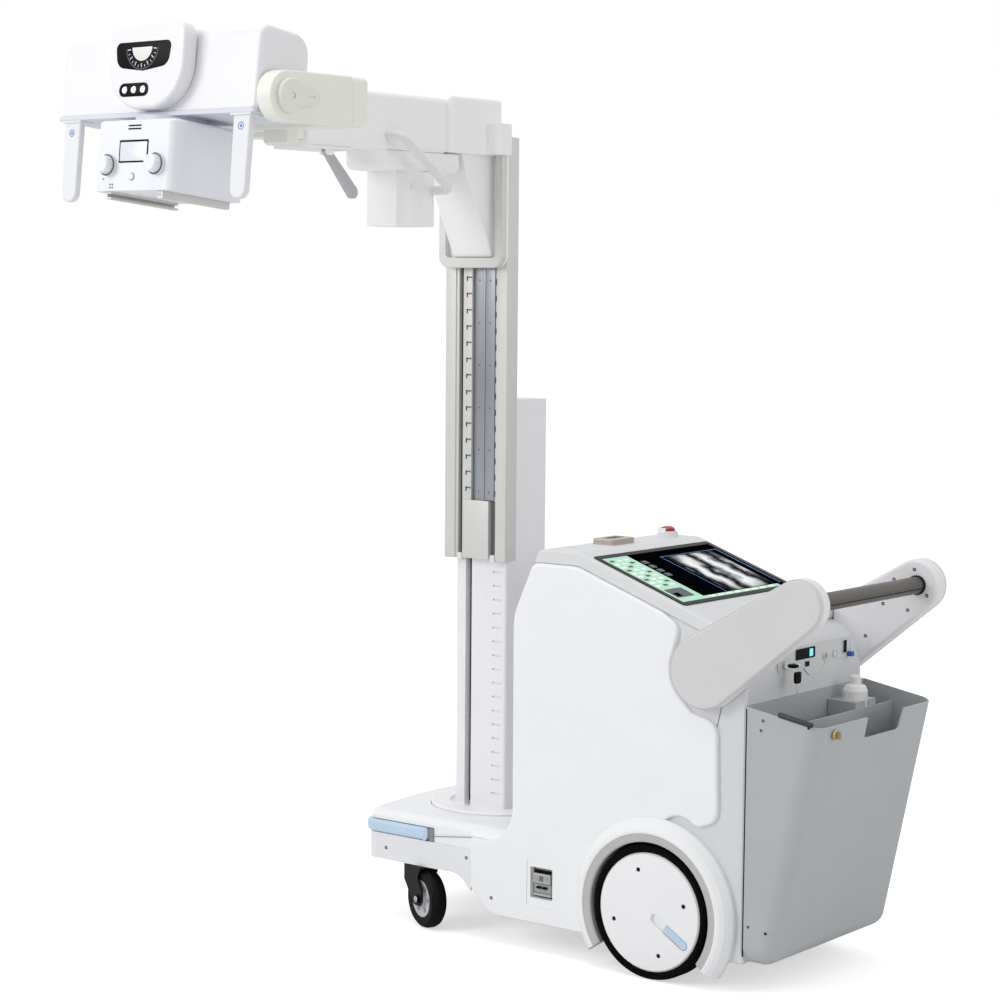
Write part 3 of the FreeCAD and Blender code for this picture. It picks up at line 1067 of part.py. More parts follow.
def inner_arm():
    """Sliding inner arm with the roll bearing in its end."""
    half, tall = inner_size()
    tube = arm_section(half, tall, ARM_END, ARM_TAIL, 7)
    hollow = arm_section(half - ARM_WALL, tall - 2 * ARM_WALL, ARM_END + 50, ARM_TAIL + 1, 3)
    tube = tube.cut(hollow)
    bore = rod((0, ARM_END - 1, ARM_Z), (0, ARM_END + 60, ARM_Z), SPINDLE_R + RUN)
    return at_column(tube.cut(bore))


# Yoke and head

def yoke():
    """Cross beam on the roll spindle, and the side arm that carries the head's trunnion."""
    half_tall = YOKE_ROUND
    inner_x = YOKE_OUT - YOKE_THICK
    low, high = TRUNNION_Z - half_tall, TRUNNION_Z + half_tall
    beam = prism(rect(COLUMN_X - 62, YOKE_OUT, low, high, 14), "xz", YOKE_CROSS_FRONT,
                 ARM_END - SEAT)
    beam = soften(beam, 8, lambda c: c.y < YOKE_CROSS_FRONT + 0.1)
    spindle = rod((COLUMN_X, ARM_END - SEAT - 1, ARM_Z), (COLUMN_X, ARM_END + 46, ARM_Z), SPINDLE_R)
    clamp = prism(rect(-604, -528, YOKE_CROSS_FRONT + 6, ARM_END - 4, 6), "xy", low - 27, low)
    side = capsule("yz", (TRUNNION_Y, TRUNNION_Z), YOKE_ROUND + 0.01,
                   (YOKE_CROSS_FRONT, TRUNNION_Z), YOKE_ROUND, inner_x, YOKE_OUT)
    side = side.cut(block(-1000, 0, YOKE_CROSS_FRONT, 0, 1900, 2200))
    side = soften(side, 5, lambda c: c.x > YOKE_OUT - 0.1 and c.y < YOKE_CROSS_FRONT - 1)
    pin = rod((inner_x - 26, TRUNNION_Y, TRUNNION_Z), (inner_x + 2, TRUNNION_Y, TRUNNION_Z),
              TRUNNION_R)
    post = rod((YOKE_OUT - 4, TRUNNION_Y, TRUNNION_Z),
               (YOKE_OUT + KNOB_THICK - 4, TRUNNION_Y, TRUNNION_Z), 8)
    return Part.makeCompound([beam.fuse([spindle, clamp]), side.fuse([pin, post])])


def lock_knob():
    """Tilt lock: a round knob with a tongue, on the trunnion's outer end."""
    low = YOKE_OUT + SEAT
    disc = turned([(8 + RUN, 0), (KNOB_R, 0), (KNOB_R, KNOB_THICK - 3), (KNOB_R - 3, KNOB_THICK),
                   (8 + RUN, KNOB_THICK)], (low, TRUNNION_Y, TRUNNION_Z), (1, 0, 0))
    tongue = capsule("yz", (TRUNNION_Y + 20, TRUNNION_Z), 24, (TRUNNION_Y + KNOB_TONGUE - 17,
                     TRUNNION_Z), 17, low + 2, low + KNOB_THICK - 1)
    tongue = tongue.cut(rod((low - 5, TRUNNION_Y, TRUNNION_Z), (low + 30, TRUNNION_Y, TRUNNION_Z),
                            8 + RUN))
    slit = block(low + KNOB_THICK - 3, low + KNOB_THICK + 2, TRUNNION_Y + 42, TRUNNION_Y + 68,
                 TRUNNION_Z - 2, TRUNNION_Z + 2)
    return disc.fuse(tongue).cut(slit).removeSplitter()


def head_tray():
    """Flat carrier plate under the tube, with its upright trunnion end."""
    plate = prism(rect(HEAD_LEFT, HEAD_RIGHT, HEAD_FRONT, HEAD_BACK, 10), "xy", TRAY_LOW,
                  TRAY_LOW + TRAY_THICK)
    ring = rod((COLUMN_X, 10, TRAY_LOW - 14 + SEAT), (COLUMN_X, 10, TRAY_LOW + 1), COL_NECK_R + 20)
    bore = rod((COLUMN_X, 10, TRAY_LOW - 30), (COLUMN_X, 10, TRAY_LOW + 30), COL_NECK_R + RUN)
    end = prism([(HEAD_FRONT + 8, TRAY_LOW + 1, 0), (HEAD_BACK - 6, TRAY_LOW + 1, 0),
                 (HEAD_BACK - 6, 40, 30), (HEAD_FRONT + 8, 40, 30)], "yz", HEAD_RIGHT - 30,
                HEAD_RIGHT)
    end = end.cut(rod((HEAD_RIGHT - 60, 0, 0), (HEAD_RIGHT + 5, 0, 0), TRUNNION_R + RUN))
    return tipped(plate.fuse([ring, end]).cut(bore).removeSplitter())


def head_cover():
    """White cover over the tube, rounded along its top and its rear corners."""
    low = TRAY_LOW + TRAY_THICK
    left, right = HEAD_LEFT + 3, HEAD_RIGHT - 1
    profile = [(HEAD_FRONT + 4, low, 3), (HEAD_BACK - 1, low, 3), (HEAD_BACK - 1, COVER_HIGH - 6, 46),
               (HEAD_FRONT + 10, COVER_HIGH, 26)]
    cover = prism(profile, "yz", left, right)
    cover = soften(cover, COVER_END_R, lambda c: (c.x < left + 0.1 or c.x > right - 0.1)
                   and c.z > low + 1)
    inner = [(HEAD_FRONT + 4 + COVER_WALL, low - 5, 0), (HEAD_BACK - 1 - COVER_WALL, low - 5, 0),
             (HEAD_BACK - 1 - COVER_WALL, COVER_HIGH - 6 - COVER_WALL, 42),
             (HEAD_FRONT + 10 + COVER_WALL, COVER_HIGH - COVER_WALL, 22)]
    cover = cover.cut(prism(inner, "yz", left + COVER_WALL, right - COVER_WALL))
    slot = [(HEAD_FRONT + 8 - EPS, low - 5, 0), (HEAD_BACK - 6 + EPS, low - 5, 0),
            (HEAD_BACK - 6 + EPS, 40 + EPS, 30 + EPS), (HEAD_FRONT + 8 - EPS, 40 + EPS, 30 + EPS)]
    cover = cover.cut(prism(slot, "yz", HEAD_RIGHT - 31, HEAD_RIGHT + 5))
    return tipped(cover)


def pod_corners():
    """Front outline of the control pod: square shoulders above a rounded chin."""
    return [(-POD_HALF, POD_HIGH, 30), (-POD_HALF, POD_LOW, 100), (POD_HALF, POD_LOW, 100),
            (POD_HALF, POD_HIGH, 30)]


def head_pod():
    """Control pod on the front of the head, with its dial window and button recess."""
    back = HEAD_FRONT + 4
    front = back - POD_PROUD
    pod = prism(pod_corners(), "xz", front, back)
    pod = soften(pod, 8, lambda c: c.y < front + 0.1)
    dial = prism([(-96, 118, 14), (-88, 64, 26), (-8, 54, 60), (70, 64, 26), (78, 118, 14)], "xz",
                 front - 2, front + 3)
    pill = prism(rect(BUTTON_X - 46, BUTTON_X + 46, BUTTON_Z - 15, BUTTON_Z + 15, 14.9), "xz",
                 front - 2, front + 2)
    pod = pod.cut(dial).cut(pill)
    for i in (-1, 0, 1):
        x = BUTTON_X + i * BUTTON_GAP
        pod = pod.cut(rod((x, front - 2, BUTTON_Z), (x, front + 14, BUTTON_Z), BUTTON_R + RUN))
    roof = block(-POD_HALF - 1, POD_HALF + 1, back - 2, back + 2, COVER_HIGH - 12, POD_HIGH + 5)
    return tipped(at_column(pod.cut(roof)))


def head_button(index):
    """One silver push button of the control pod."""
    front = HEAD_FRONT + 4 - POD_PROUD
    x = BUTTON_X + index * BUTTON_GAP
    button = turned([(0, -14 + BUTTON_TRAVEL + SEAT), (BUTTON_R, -14 + BUTTON_TRAVEL + SEAT),
                     (BUTTON_R, 0.5), (BUTTON_R - 1, 1.5), (0, 1.5)],
                    (x, front, BUTTON_Z), (0, -1, 0))
    return tipped(at_column(button))


def head_handles():
    """Two paddle handles that hang from the front edge of the tray."""
    solids = []
    for side in (-1, 1):
        x = side * PADDLE_X
        half = PADDLE_WIDE / 2
        top = TRAY_LOW
        paddle = prism([(x - half, top, 0), (x + half, top, 0),
                        (x + half - 3, top - PADDLE_LONG, 22), (x - half + 3, top - PADDLE_LONG, 22)],
                       "xz", PADDLE_Y - PADDLE_THICK / 2, PADDLE_Y + PADDLE_THICK / 2)
        paddle = soften(paddle, 5, lambda c: c.z < top - 1 and abs(c.x - x) > half - 6)
        flange = block(x - half - 4, x + half + 4, HEAD_FRONT + 2, HEAD_FRONT + 40, top - 5, top)
        solids.append(paddle.fuse(flange))
    return tipped(at_column(Part.makeCompound(solids)))


def tube_insert():
    """X-ray tube housing lying in the head, with its end caps and cable wells."""
    z = TRAY_LOW + TRAY_THICK + TUBE_R + 0.1
    half = TUBE_LONG / 2
    profile = [(0, -half - 24), (TUBE_R - 22, -half - 24), (TUBE_R - 4, -half), (TUBE_R, -half),
               (TUBE_R, half), (TUBE_R - 4, half), (TUBE_R - 22, half + 24), (0, half + 24)]
    tube = turned(profile, (0, TUBE_Y, z), (1, 0, 0))
    port = rod((0, 10, TRAY_LOW + TRAY_THICK + 0.1), (0, 10, z), COL_NECK_R - 16)
    return tipped(at_column(tube.fuse(port)))


def collimator():
    """Collimator housing with its turning neck, window recess, display recess and controls' seats."""
    z0, z1 = COL_LOW, COL_HIGH
    case = prism(rect(-COL_HALF, COL_HALF, COL_FRONT, COL_BACK, 22), "xy", z0, z1)
    case = soften(case, 8, lambda c: c.z > z1 - 0.1)
    hollow = prism(rect(-COL_HALF + COL_WALL, COL_HALF - COL_WALL, COL_FRONT + 28,
                        COL_BACK - COL_WALL, 16), "xy", z0 + COL_WALL, z1 - COL_WALL)
    half = APERTURE / 2
    window = block(-half, half, 10 - half, 10 + half, z0 - 1, z0 + COL_WALL / 2)
    neck = rod((0, 10, z1 - 1), (0, 10, TRAY_LOW + TRAY_THICK - 1), COL_NECK_R)
    case = case.cut(hollow).fuse(neck)
    case = case.cut(rod((0, 10, z1 - 10), (0, 10, TRAY_LOW + 20), COL_NECK_R - 14)).cut(window)
    lcd = prism(rect(-LCD_WIDE / 2, LCD_WIDE / 2, LCD_Z - LCD_TALL / 2, LCD_Z + LCD_TALL / 2, 3),
                "xz", COL_FRONT - 1, COL_FRONT + 2)
    case = case.cut(lcd)
    for z in (-76, -69):
        case = case.cut(block(-20, 20, COL_FRONT - 1, COL_FRONT + 3, z, z + 3))
    for x in (-COL_KNOB_X, COL_KNOB_X):
        case = case.cut(rod((x, COL_FRONT - 1, COL_KNOB_Z), (x, COL_FRONT + 22, COL_KNOB_Z), 4 + RUN))
    case = case.cut(rod((0, COL_FRONT - 1, COL_BUTTON_Z), (0, COL_FRONT + 16, COL_BUTTON_Z),
                        COL_BUTTON_R + RUN))
    return tipped(at_column(case.removeSplitter()))


def collimator_knob(side):
    """Field-size knob: dark skirt ring, gripped sides and a domed face."""
    x = side * COL_KNOB_X
    long = COL_KNOB_LONG
    knob = turned([(0, -20), (4, -20), (4, SEAT), (COL_KNOB_R + 3, SEAT), (COL_KNOB_R + 3, 5),
                   (COL_KNOB_R, 6), (COL_KNOB_R - 1, long - 3), (COL_KNOB_R - 4, long), (0, long)],
                  (x, COL_FRONT, COL_KNOB_Z), (0, -1, 0))
    for i in range(12):
        angle = math.radians(30 * i)
        fx, fz = x + COL_KNOB_R * math.cos(angle), COL_KNOB_Z + COL_KNOB_R * math.sin(angle)
        knob = knob.cut(rod((fx, COL_FRONT - 8, fz), (fx, COL_FRONT - long - 2, fz), 1.6))
    return tipped(at_column(knob))


def collimator_button():
    """Lamp button of the collimator."""
    button = turned([(0, -13), (COL_BUTTON_R, -13), (COL_BUTTON_R, 2), (COL_BUTTON_R - 1, 3),
                     (0, 3)], (0, COL_FRONT, COL_BUTTON_Z), (0, -1, 0))
    return tipped(at_column(button))


def collimator_rails():
    """Two accessory rails under the collimator, each with its slot facing inwards."""
    z = COL_LOW
    y0 = COL_FRONT + 10
    solids = []
    for side in (-1, 1):
        x = side * COL_RAIL_X
        half = [(x - side * 8, z, 0), (x + side * 8, z, 0), (x + side * 8, z - COL_RAIL_DEEP, 0),
                (x - side * 8, z - COL_RAIL_DEEP, 0), (x - side * 8, z - COL_RAIL_DEEP + 4, 0),
                (x + side * 3, z - COL_RAIL_DEEP + 4, 0), (x + side * 3, z - 5, 0),
                (x - side * 8, z - 5, 0)]
        solids.append(prism(half, "xz", y0, y0 + COL_RAIL_LONG))
    return tipped(at_column(Part.makeCompound(solids)))


def pieces():
    """Every named piece of the machine."""
    sides = {"near": -1, "far": 1}
    parts = {
        "chassis": chassis(), "power_unit": power_unit(), "foot_skirt": foot_skirt(),
        "foot_hood": foot_hood(), "body_shell": body_shell(),
        "side_cover_near": side_cover(True), "side_cover_far": side_cover(False),
        "wheel_arches": Part.makeCompound([wheel_arch(), mirrored(wheel_arch())]),
        "deck_cover": deck_cover(), "screen_bezel": screen_bezel(), "screen_glass": screen_glass(),
        "deck_dock": deck_dock(), "rear_panel": rear_panel(), "breaker": breaker(),
        "handle_arms": handle_arms(), "push_bar": push_bar(), "bin_shell": bin_shell(),
        "bin_divider": bin_divider(), "bottle": bottle(), "caster_plates": caster_plates(),
        "front_bumper": bumper(), "stop_button": stop_button(),
        "breaker_toggles": breaker_toggles(), "key_set": key_set(), "bin_lock": bin_lock(),
        "turntable": turntable(), "mast": mast(), "stage_channel": stage_channel(),
        "stage_rails": stage_rails(), "carriage": carriage(), "carriage_bezel": carriage_bezel(),
        "arm_housing": arm_housing(), "grab_handle": grab_handle(), "inner_arm": inner_arm(),
        "arm_lever": arm_lever(), "yoke": yoke(), "lock_knob": lock_knob(),
        "head_tray": head_tray(), "head_cover": head_cover(), "head_pod": head_pod(),
        "head_handles": head_handles(), "tube_insert": tube_insert(), "collimator": collimator(),
        "collimator_rails": collimator_rails(), "collimator_button": collimator_button(),
        "collimator_knob_left": collimator_knob(-1), "collimator_knob_right": collimator_knob(1),
    }
    for name, index in {"left": -1, "middle": 0, "right": 1}.items():
        parts[f"head_button_{name}"] = head_button(index)
    for name, side in sides.items():
        parts[f"drive_tyre_{name}"] = drive_tyre(side)
        parts[f"wheel_disc_{name}"] = wheel_disc(side)
        parts[f"clutch_lever_{name}"] = clutch_lever(side)
        parts[f"caster_fork_{name}"] = caster_fork(side)
        parts[f"caster_wheel_{name}"] = caster_wheel(side)
    return parts


def main():
    """Write one STEP file for each named piece."""
    os.makedirs("parts", exist_ok=True)
    for name, shape in pieces().items():
        shape.exportStep(f"parts/{name}.step")


main()
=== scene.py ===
"""Looks of a mobile x-ray machine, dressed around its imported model."""

import logging
import math
from dataclasses import dataclass, field
from enum import Enum

import bpy
from mathutils import Matrix, Vector


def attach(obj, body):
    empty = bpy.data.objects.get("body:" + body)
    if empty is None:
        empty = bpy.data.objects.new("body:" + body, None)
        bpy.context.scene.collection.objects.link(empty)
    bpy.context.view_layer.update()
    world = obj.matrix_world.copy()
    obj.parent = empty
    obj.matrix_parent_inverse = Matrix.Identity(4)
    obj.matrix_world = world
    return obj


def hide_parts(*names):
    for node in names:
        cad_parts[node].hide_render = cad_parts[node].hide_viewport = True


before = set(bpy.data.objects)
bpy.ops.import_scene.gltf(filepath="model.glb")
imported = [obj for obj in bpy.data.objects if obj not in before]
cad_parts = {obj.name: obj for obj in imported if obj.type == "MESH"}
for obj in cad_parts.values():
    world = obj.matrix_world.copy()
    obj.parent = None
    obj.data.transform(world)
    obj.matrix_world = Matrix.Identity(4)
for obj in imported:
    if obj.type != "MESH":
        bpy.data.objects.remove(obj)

MM = 0.001
HEAD_TILT = math.radians(-5.5)
COLUMN_X = -680.0
TRUNNION = (COLUMN_X, -1187.0, 2038.0)
WHEEL_R = 163.0
SHARP = math.radians(40)
MERGE = 1e-6
BLOTCHES_PER_M = 9.0
NOISE_DETAIL = 2.0
RELIEF = 0.2
COAT_ROUGHNESS = 0.08
SCREW_STEPS = 20
SIDES = (("near", -1), ("far", 1))

Pair = tuple[float, float]
Corner = tuple[float, float, float]
Piece = bpy.types.Object
Socket = bpy.types.NodeSocket
Tree = bpy.types.NodeTree
log = logging.getLogger("xray_machine")


class Plane(Enum):
    """Plane that an outline is drawn in."""

    XY = "xy"
    XZ = "xz"
    YZ = "yz"


class Grain(Enum):
    """Direction in which a finish is worked, as stretch factors of its pattern."""

    SPECKLE = (1.0, 1.0, 1.0)
    ALONG_X = (0.01, 1.0, 1.0)
    ALONG_Y = (1.0, 0.01, 1.0)
    ALONG_Z = (1.0, 1.0, 0.01)


# Shaping

def deselect() -> None:
    """Deselect every object."""
    bpy.ops.object.select_all(action="DESELECT")


def pick(obj: Piece) -> None:
    """Make one object the selected and active one."""
    deselect()
    obj.select_set(True)
    bpy.context.view_layer.objects.active = obj


def spot(plane: Plane, a: float, b: float, level: float) -> Vector:
    """Point of an outline.

    Args:
        plane: Plane of the outline.
        a: First coordinate in the plane, in millimetres.
        b: Second coordinate in the plane, in millimetres.
        level: Coordinate along the plane's normal, in millimetres.

    Returns:
        The point in metres.
    """
    order = {Plane.XY: (a, b, level), Plane.XZ: (a, level, b), Plane.YZ: (level, a, b)}
    return Vector(order[plane]) * MM


def rounded(corners: list[Corner], steps: int = 8) -> list[Pair]:
    """Points of an outline whose corners have their own radii.

    Args:
        corners: Corners as (a, b, radius), in order round the outline.
        steps: Segments in each rounded corner.

    Returns:
        Points as (a, b), in millimetres.
    """
    points = []
    for i, (a, b, radius) in enumerate(corners):
        here = Vector((a, b))
        back = (Vector(corners[i - 1][:2]) - here).normalized()
        ahead = (Vector(corners[(i + 1) % len(corners)][:2]) - here).normalized()
        if radius <= 0:
            points.append((a, b))
            continue
        half = back.angle(ahead) / 2
        centre = here + (back + ahead).normalized() * (radius / math.sin(half))
        start = here + back * (radius / math.tan(half)) - centre
        turn = start.angle_signed(here + ahead * (radius / math.tan(half)) - centre)
        for step in range(steps + 1):
            angle = -turn * step / steps
            swung = Matrix.Rotation(angle, 2) @ start
            points.append(tuple(centre + swung))
    return points


def settle(obj: Piece, place: Matrix = Matrix.Identity(4)) -> Piece:
    """Move a piece to its place and leave the place in its mesh.

    Args:
        obj: Piece to move.
        place: Where it goes.

    Returns:
        The same piece.
    """
    pick(obj)
    obj.matrix_world = place @ obj.matrix_world
    bpy.ops.object.transform_apply(location=True, rotation=True, scale=True)
    return obj


def soften(obj: Piece, edge: float, segments: int = 3) -> Piece:
    """Round a piece's sharp edges and shade it smooth.

    Args:
        obj: Piece to round.
        edge: Radius of its edges in millimetres, or 0 to leave them.
        segments: Segments across each edge.

    Returns:
        The same piece.
    """
    pick(obj)
    if edge > 0:
        bevel = obj.modifiers.new("edge", "BEVEL")
        bevel.width = edge * MM
        bevel.segments = segments
        bevel.limit_method = "ANGLE"
        bevel.angle_limit = SHARP
        bpy.ops.object.modifier_apply(modifier=bevel.name)
    bpy.ops.object.shade_smooth_by_angle(angle=SHARP)
    return obj


def named(name: str) -> Piece:
    """Name the primitive that was just added."""
    obj = bpy.context.active_object
    obj.name = obj.data.name = name
    return obj


def plate(name: str, plane: Plane, points: list[Pair], low: float, high: float,
          edge: float = 0.0) -> Piece:
    """Closed plate of an outline between two levels.

    Args:
        name: Name of the piece.
        plane: Plane of the outline.
        points: Outline in millimetres.
        low: Lower level along the plane's normal.
        high: Upper level.
        edge: Radius of its edges.

    Returns:
        The plate.
    """
    deselect()
    bpy.ops.mesh.primitive_circle_add(vertices=len(points), fill_type="NGON")
    obj = named(name)
    for vertex, (a, b) in zip(obj.data.vertices, points):
        vertex.co = spot(plane, a, b, low)
    bpy.ops.object.mode_set(mode="EDIT")
    bpy.ops.mesh.select_all(action="SELECT")
    rise = spot(plane, 0, 0, high - low)
    bpy.ops.mesh.extrude_region_move(TRANSFORM_OT_translate={"value": rise})
    bpy.ops.mesh.select_all(action="SELECT")
    bpy.ops.mesh.normals_make_consistent(inside=False)
    bpy.ops.object.mode_set(mode="OBJECT")
    return soften(obj, edge)


def lathe(name: str, profile: list[Pair], base: Corner, axis: Corner, steps: int = 48) -> Piece:
    """Round piece spun from a profile.

    Args:
        name: Name of the piece.
        profile: (radius, height) points in millimetres, in order round the section.
        base: Point on the axis that heights start from, in millimetres.
        axis: Unit direction of the axis.
        steps: Segments round the piece.

    Returns:
        The round piece.
    """
    deselect()
    bpy.ops.mesh.primitive_circle_add(vertices=len(profile), fill_type="NOTHING")
    obj = named(name)
    along = Vector(axis)
    side = Vector((1, 0, 0)) if abs(along.x) < 0.5 else Vector((0, 0, 1))
    side = (side - along * side.dot(along)).normalized()
    centre = Vector(base) * MM
    for vertex, (radius, height) in zip(obj.data.vertices, profile):
        vertex.co = centre + (side * radius + along * height) * MM
    for edge in obj.data.edges:
        edge.select = all(profile[i][0] == 0 for i in edge.vertices)
    for vertex in obj.data.vertices:
        vertex.select = False
    bpy.ops.object.mode_set(mode="EDIT")
    bpy.ops.mesh.select_mode(type="EDGE")
    bpy.ops.mesh.delete(type="EDGE")
    bpy.ops.mesh.select_mode(type="VERT")
    bpy.ops.mesh.select_all(action="SELECT")
    bpy.ops.mesh.spin(steps=steps, angle=math.tau, center=centre, axis=along)
    bpy.ops.mesh.select_all(action="SELECT")
    bpy.ops.mesh.remove_doubles(threshold=MERGE)
    bpy.ops.mesh.normals_make_consistent(inside=False)
    bpy.ops.object.mode_set(mode="OBJECT")
    return soften(obj, 0)


def bar(name: str, start: Corner, end: Corner, radius: float, edge: float = 0.3,
        vertices: int = 32) -> Piece:
    """Round bar between two points.

    Args:
        name: Name of the piece.
        start: One end's centre in millimetres.
        end: The other end's centre.
        radius: Radius of the bar.
        edge: Radius of its end edges.
        vertices: Sides of the bar.

    Returns:
        The bar.
    """
    first, last = Vector(start) * MM, Vector(end) * MM
    run = last - first
    deselect()
    bpy.ops.mesh.primitive_cylinder_add(vertices=vertices, radius=radius * MM, depth=run.length,
                                        location=(first + last) / 2,
                                        rotation=run.to_track_quat("Z", "Y").to_euler())
    return soften(settle(named(name)), edge)


def block(name: str, low: Corner, high: Corner, edge: float = 0.5) -> Piece:
    """Box between two corners.

    Args:
        name: Name of the piece.
        low: Lowest corner in millimetres.
        high: Highest corner.
        edge: Radius of its edges.

    Returns:
        The box.
    """
    first, last = Vector(low) * MM, Vector(high) * MM
    deselect()
    bpy.ops.mesh.primitive_cube_add(size=1, location=(first + last) / 2)
    obj = named(name)
    obj.scale = last - first
    return soften(settle(obj), edge)


def carve(obj: Piece, tool: Piece) -> Piece:
    """Cut one piece out of another and drop the tool.

    Args:
        obj: Piece to cut.
        tool: Piece whose volume is taken away.

    Returns:
        The cut piece.
    """
    pick(obj)
    cut = obj.modifiers.new("cut", "BOOLEAN")
    cut.operation = "DIFFERENCE"
    cut.object = tool
    cut.solver = "EXACT"
    bpy.ops.object.modifier_apply(modifier=cut.name)
    bpy.data.objects.remove(tool)
    return soften(obj, 0)


def rect(a0: float, a1: float, b0: float, b1: float, radius: float) -> list[Corner]:
    """Corners of a rounded rectangle."""
    return [(a0, b0, radius), (a1, b0, radius), (a1, b1, radius), (a0, b1, radius)]


def arc(centre: Pair, radius: float, start: float, end: float, steps: int = 16) -> list[Pair]:
    """Points of an arc, with its angles in degrees."""
    sweep = [math.radians(start + (end - start) * i / steps) for i in range(steps + 1)]
    return [(centre[0] + radius * math.cos(t), centre[1] + radius * math.sin(t)) for t in sweep]


def tilted() -> Matrix:
    """Place of the tube head's own level frame in the machine."""
    return Matrix.Translation(Vector(TRUNNION) * MM) @ Matrix.Rotation(HEAD_TILT, 4, "X")


# Finishes

def linear(colour: str) -> tuple[float, float, float, float]:
    """Linear value of an sRGB hex colour.

    Args:
        colour: Colour as #RRGGBB.

    Returns:
        Red, green, blue and alpha.
    """
    parts = [int(colour[i:i + 2], 16) / 255 for i in (1, 3, 5)]
    red, green, blue = (c / 12.92 if c <= 0.04045 else ((c + 0.055) / 1.055) ** 2.4
                        for c in parts)
    return red, green, blue, 1.0


def add_node(tree: Tree, kind: str, settings: dict[str, object],
             inputs: dict[str | int, object]) -> bpy.types.Node:
    """Add a node with its settings, values and links.

    Args:
        tree: Node tree to add to.
        kind: Blender's name of the node type, after ShaderNode.
        settings: Node properties by name.
        inputs: Input values, or output sockets to link from, by input name or number.

    Returns:
        The node.
    """
    node = tree.nodes.new(f"ShaderNode{kind}")
    for name, value in settings.items():
        setattr(node, name, value)
    for name, value in inputs.items():
        if isinstance(value, Socket):
            tree.links.new(value, node.inputs[name])
        else:
            node.inputs[name].default_value = value
    return node


@dataclass(frozen=True)
class Finish:
    """Finish of a surface, with its pattern at a real size.

    Attributes:
        name: Material and how its surface was made.
        slot: The record's slot that it belongs to.
        colour: Main colour.
        shade: Second colour that the pattern drifts to.
        grain_mm: Distance between the pattern's grains.
        roughness: Mean roughness.
        swing: How far the roughness drifts to either side.
        bump: Strength of the relief.
        metallic: 1 for a metal.
        ior: Index of refraction.
        specular: Strength of the mirror-like share.
        coat: Weight of a clear coat.
        grain: Direction of the pattern.
        glow: Strength at which the surface shines by itself.
    """

    name: str
    slot: str
    colour: str
    shade: str
    grain_mm: float = 0.8
    roughness: float = 0.5
    swing: float = 0.06
    bump: float = 0.05
    metallic: float = 0.0
    ior: float = 1.5
    specular: float = 0.5
    coat: float = 0.0
    grain: Grain = Grain.SPECKLE
    glow: float = 0.0

    def colours(self, tree: Tree, grains: Socket, place: Socket) -> Socket:
        """Colour of the surface, which a finish of two colours replaces.

        Args:
            tree: The material's tree.
            grains: Fine pattern.
            place: Object coordinates.

        Returns:
            The colour.
        """
        blotches = add_node(tree, "TexNoise", {}, {"Vector": place, "Scale": BLOTCHES_PER_M,
                                                             "Detail": NOISE_DETAIL})
        blend = add_node(tree, "Math", {"operation": "MULTIPLY"},
                         {0: grains, 1: blotches.outputs["Fac"]})
        mix = add_node(tree, "Mix", {"data_type": "RGBA"},
                       {0: blend.outputs[0], 6: linear(self.colour), 7: linear(self.shade)})
        return mix.outputs[2]

    def material(self) -> bpy.types.Material:
        """The finish's material, made the first time it is asked for."""
        if self.name in bpy.data.materials:
            return bpy.data.materials[self.name]
        made = bpy.data.materials.new(self.name)
        made.use_nodes = True
        tree = made.node_tree
        tree.nodes.clear()
        place = add_node(tree, "TexCoord", {}, {}).outputs["Object"]
        drawn = add_node(tree, "Mapping", {}, {"Vector": place, "Scale": self.grain.value})
        noise = add_node(tree, "TexNoise", {}, {"Vector": drawn.outputs[0],
                                                          "Scale": 1 / (self.grain_mm * MM),
                                                          "Detail": NOISE_DETAIL})
        grains = noise.outputs["Fac"]
        relief = add_node(tree, "Bump", {}, {"Strength": self.bump,
                                                       "Distance": self.grain_mm * MM * RELIEF,
                                                       "Height": grains})
        rough = add_node(tree, "MapRange", {}, {"Value": grains,
                                                          "To Min": self.roughness - self.swing,
                                                          "To Max": self.roughness + self.swing})
        shown = self.colours(tree, grains, place)
        skin = add_node(tree, "BsdfPrincipled", {},
                        {"Base Color": shown, "Roughness": rough.outputs[0],
                         "Metallic": self.metallic, "IOR": self.ior,
                         "Specular IOR Level": self.specular,
                         "Coat Weight": self.coat, "Coat Roughness": COAT_ROUGHNESS,
                         "Emission Color": shown, "Emission Strength": self.glow,
                         "Normal": relief.outputs[0]})
        add_node(tree, "OutputMaterial", {}, {"Surface": skin.outputs[0]})
        return made


@dataclass(frozen=True)
class SplitFinish(Finish):
    """Piece moulded or coated in two colours, split at a distance from a point.

    Attributes:
        inner: Colour nearer to the point than the split.
        centre: The point in millimetres, on the side where coordinates are positive.
        counts: Which of the three coordinates the distance counts.
        reach: Distance of the split in millimetres.
    """

    inner: str = "#B9B9B9"
    centre: Corner = (0.0, 0.0, 0.0)
    counts: Corner = (1.0, 1.0, 1.0)
    reach: float = 100.0

    def colours(self, tree: Tree, grains: Socket, place: Socket) -> Socket:
        """Inner colour within the split's distance, the main colour beyond it."""
        outer = super().colours(tree, grains, place)
        folded = add_node(tree, "VectorMath", {"operation": "ABSOLUTE"}, {0: place})
        shift = [-c * count * MM for c, count in zip(self.centre, self.counts)]
        centred = add_node(tree, "VectorMath", {"operation": "MULTIPLY_ADD"},
                           {0: folded.outputs[0], 1: self.counts, 2: shift})
        away = add_node(tree, "VectorMath", {"operation": "LENGTH"}, {0: centred.outputs[0]})
        inside = add_node(tree, "Math", {"operation": "LESS_THAN"},
                          {0: away.outputs["Value"], 1: self.reach * MM})
        mix = add_node(tree, "Mix", {"data_type": "RGBA"},
                       {0: inside.outputs[0], 6: outer, 7: linear(self.inner)})
        return mix.outputs[2]


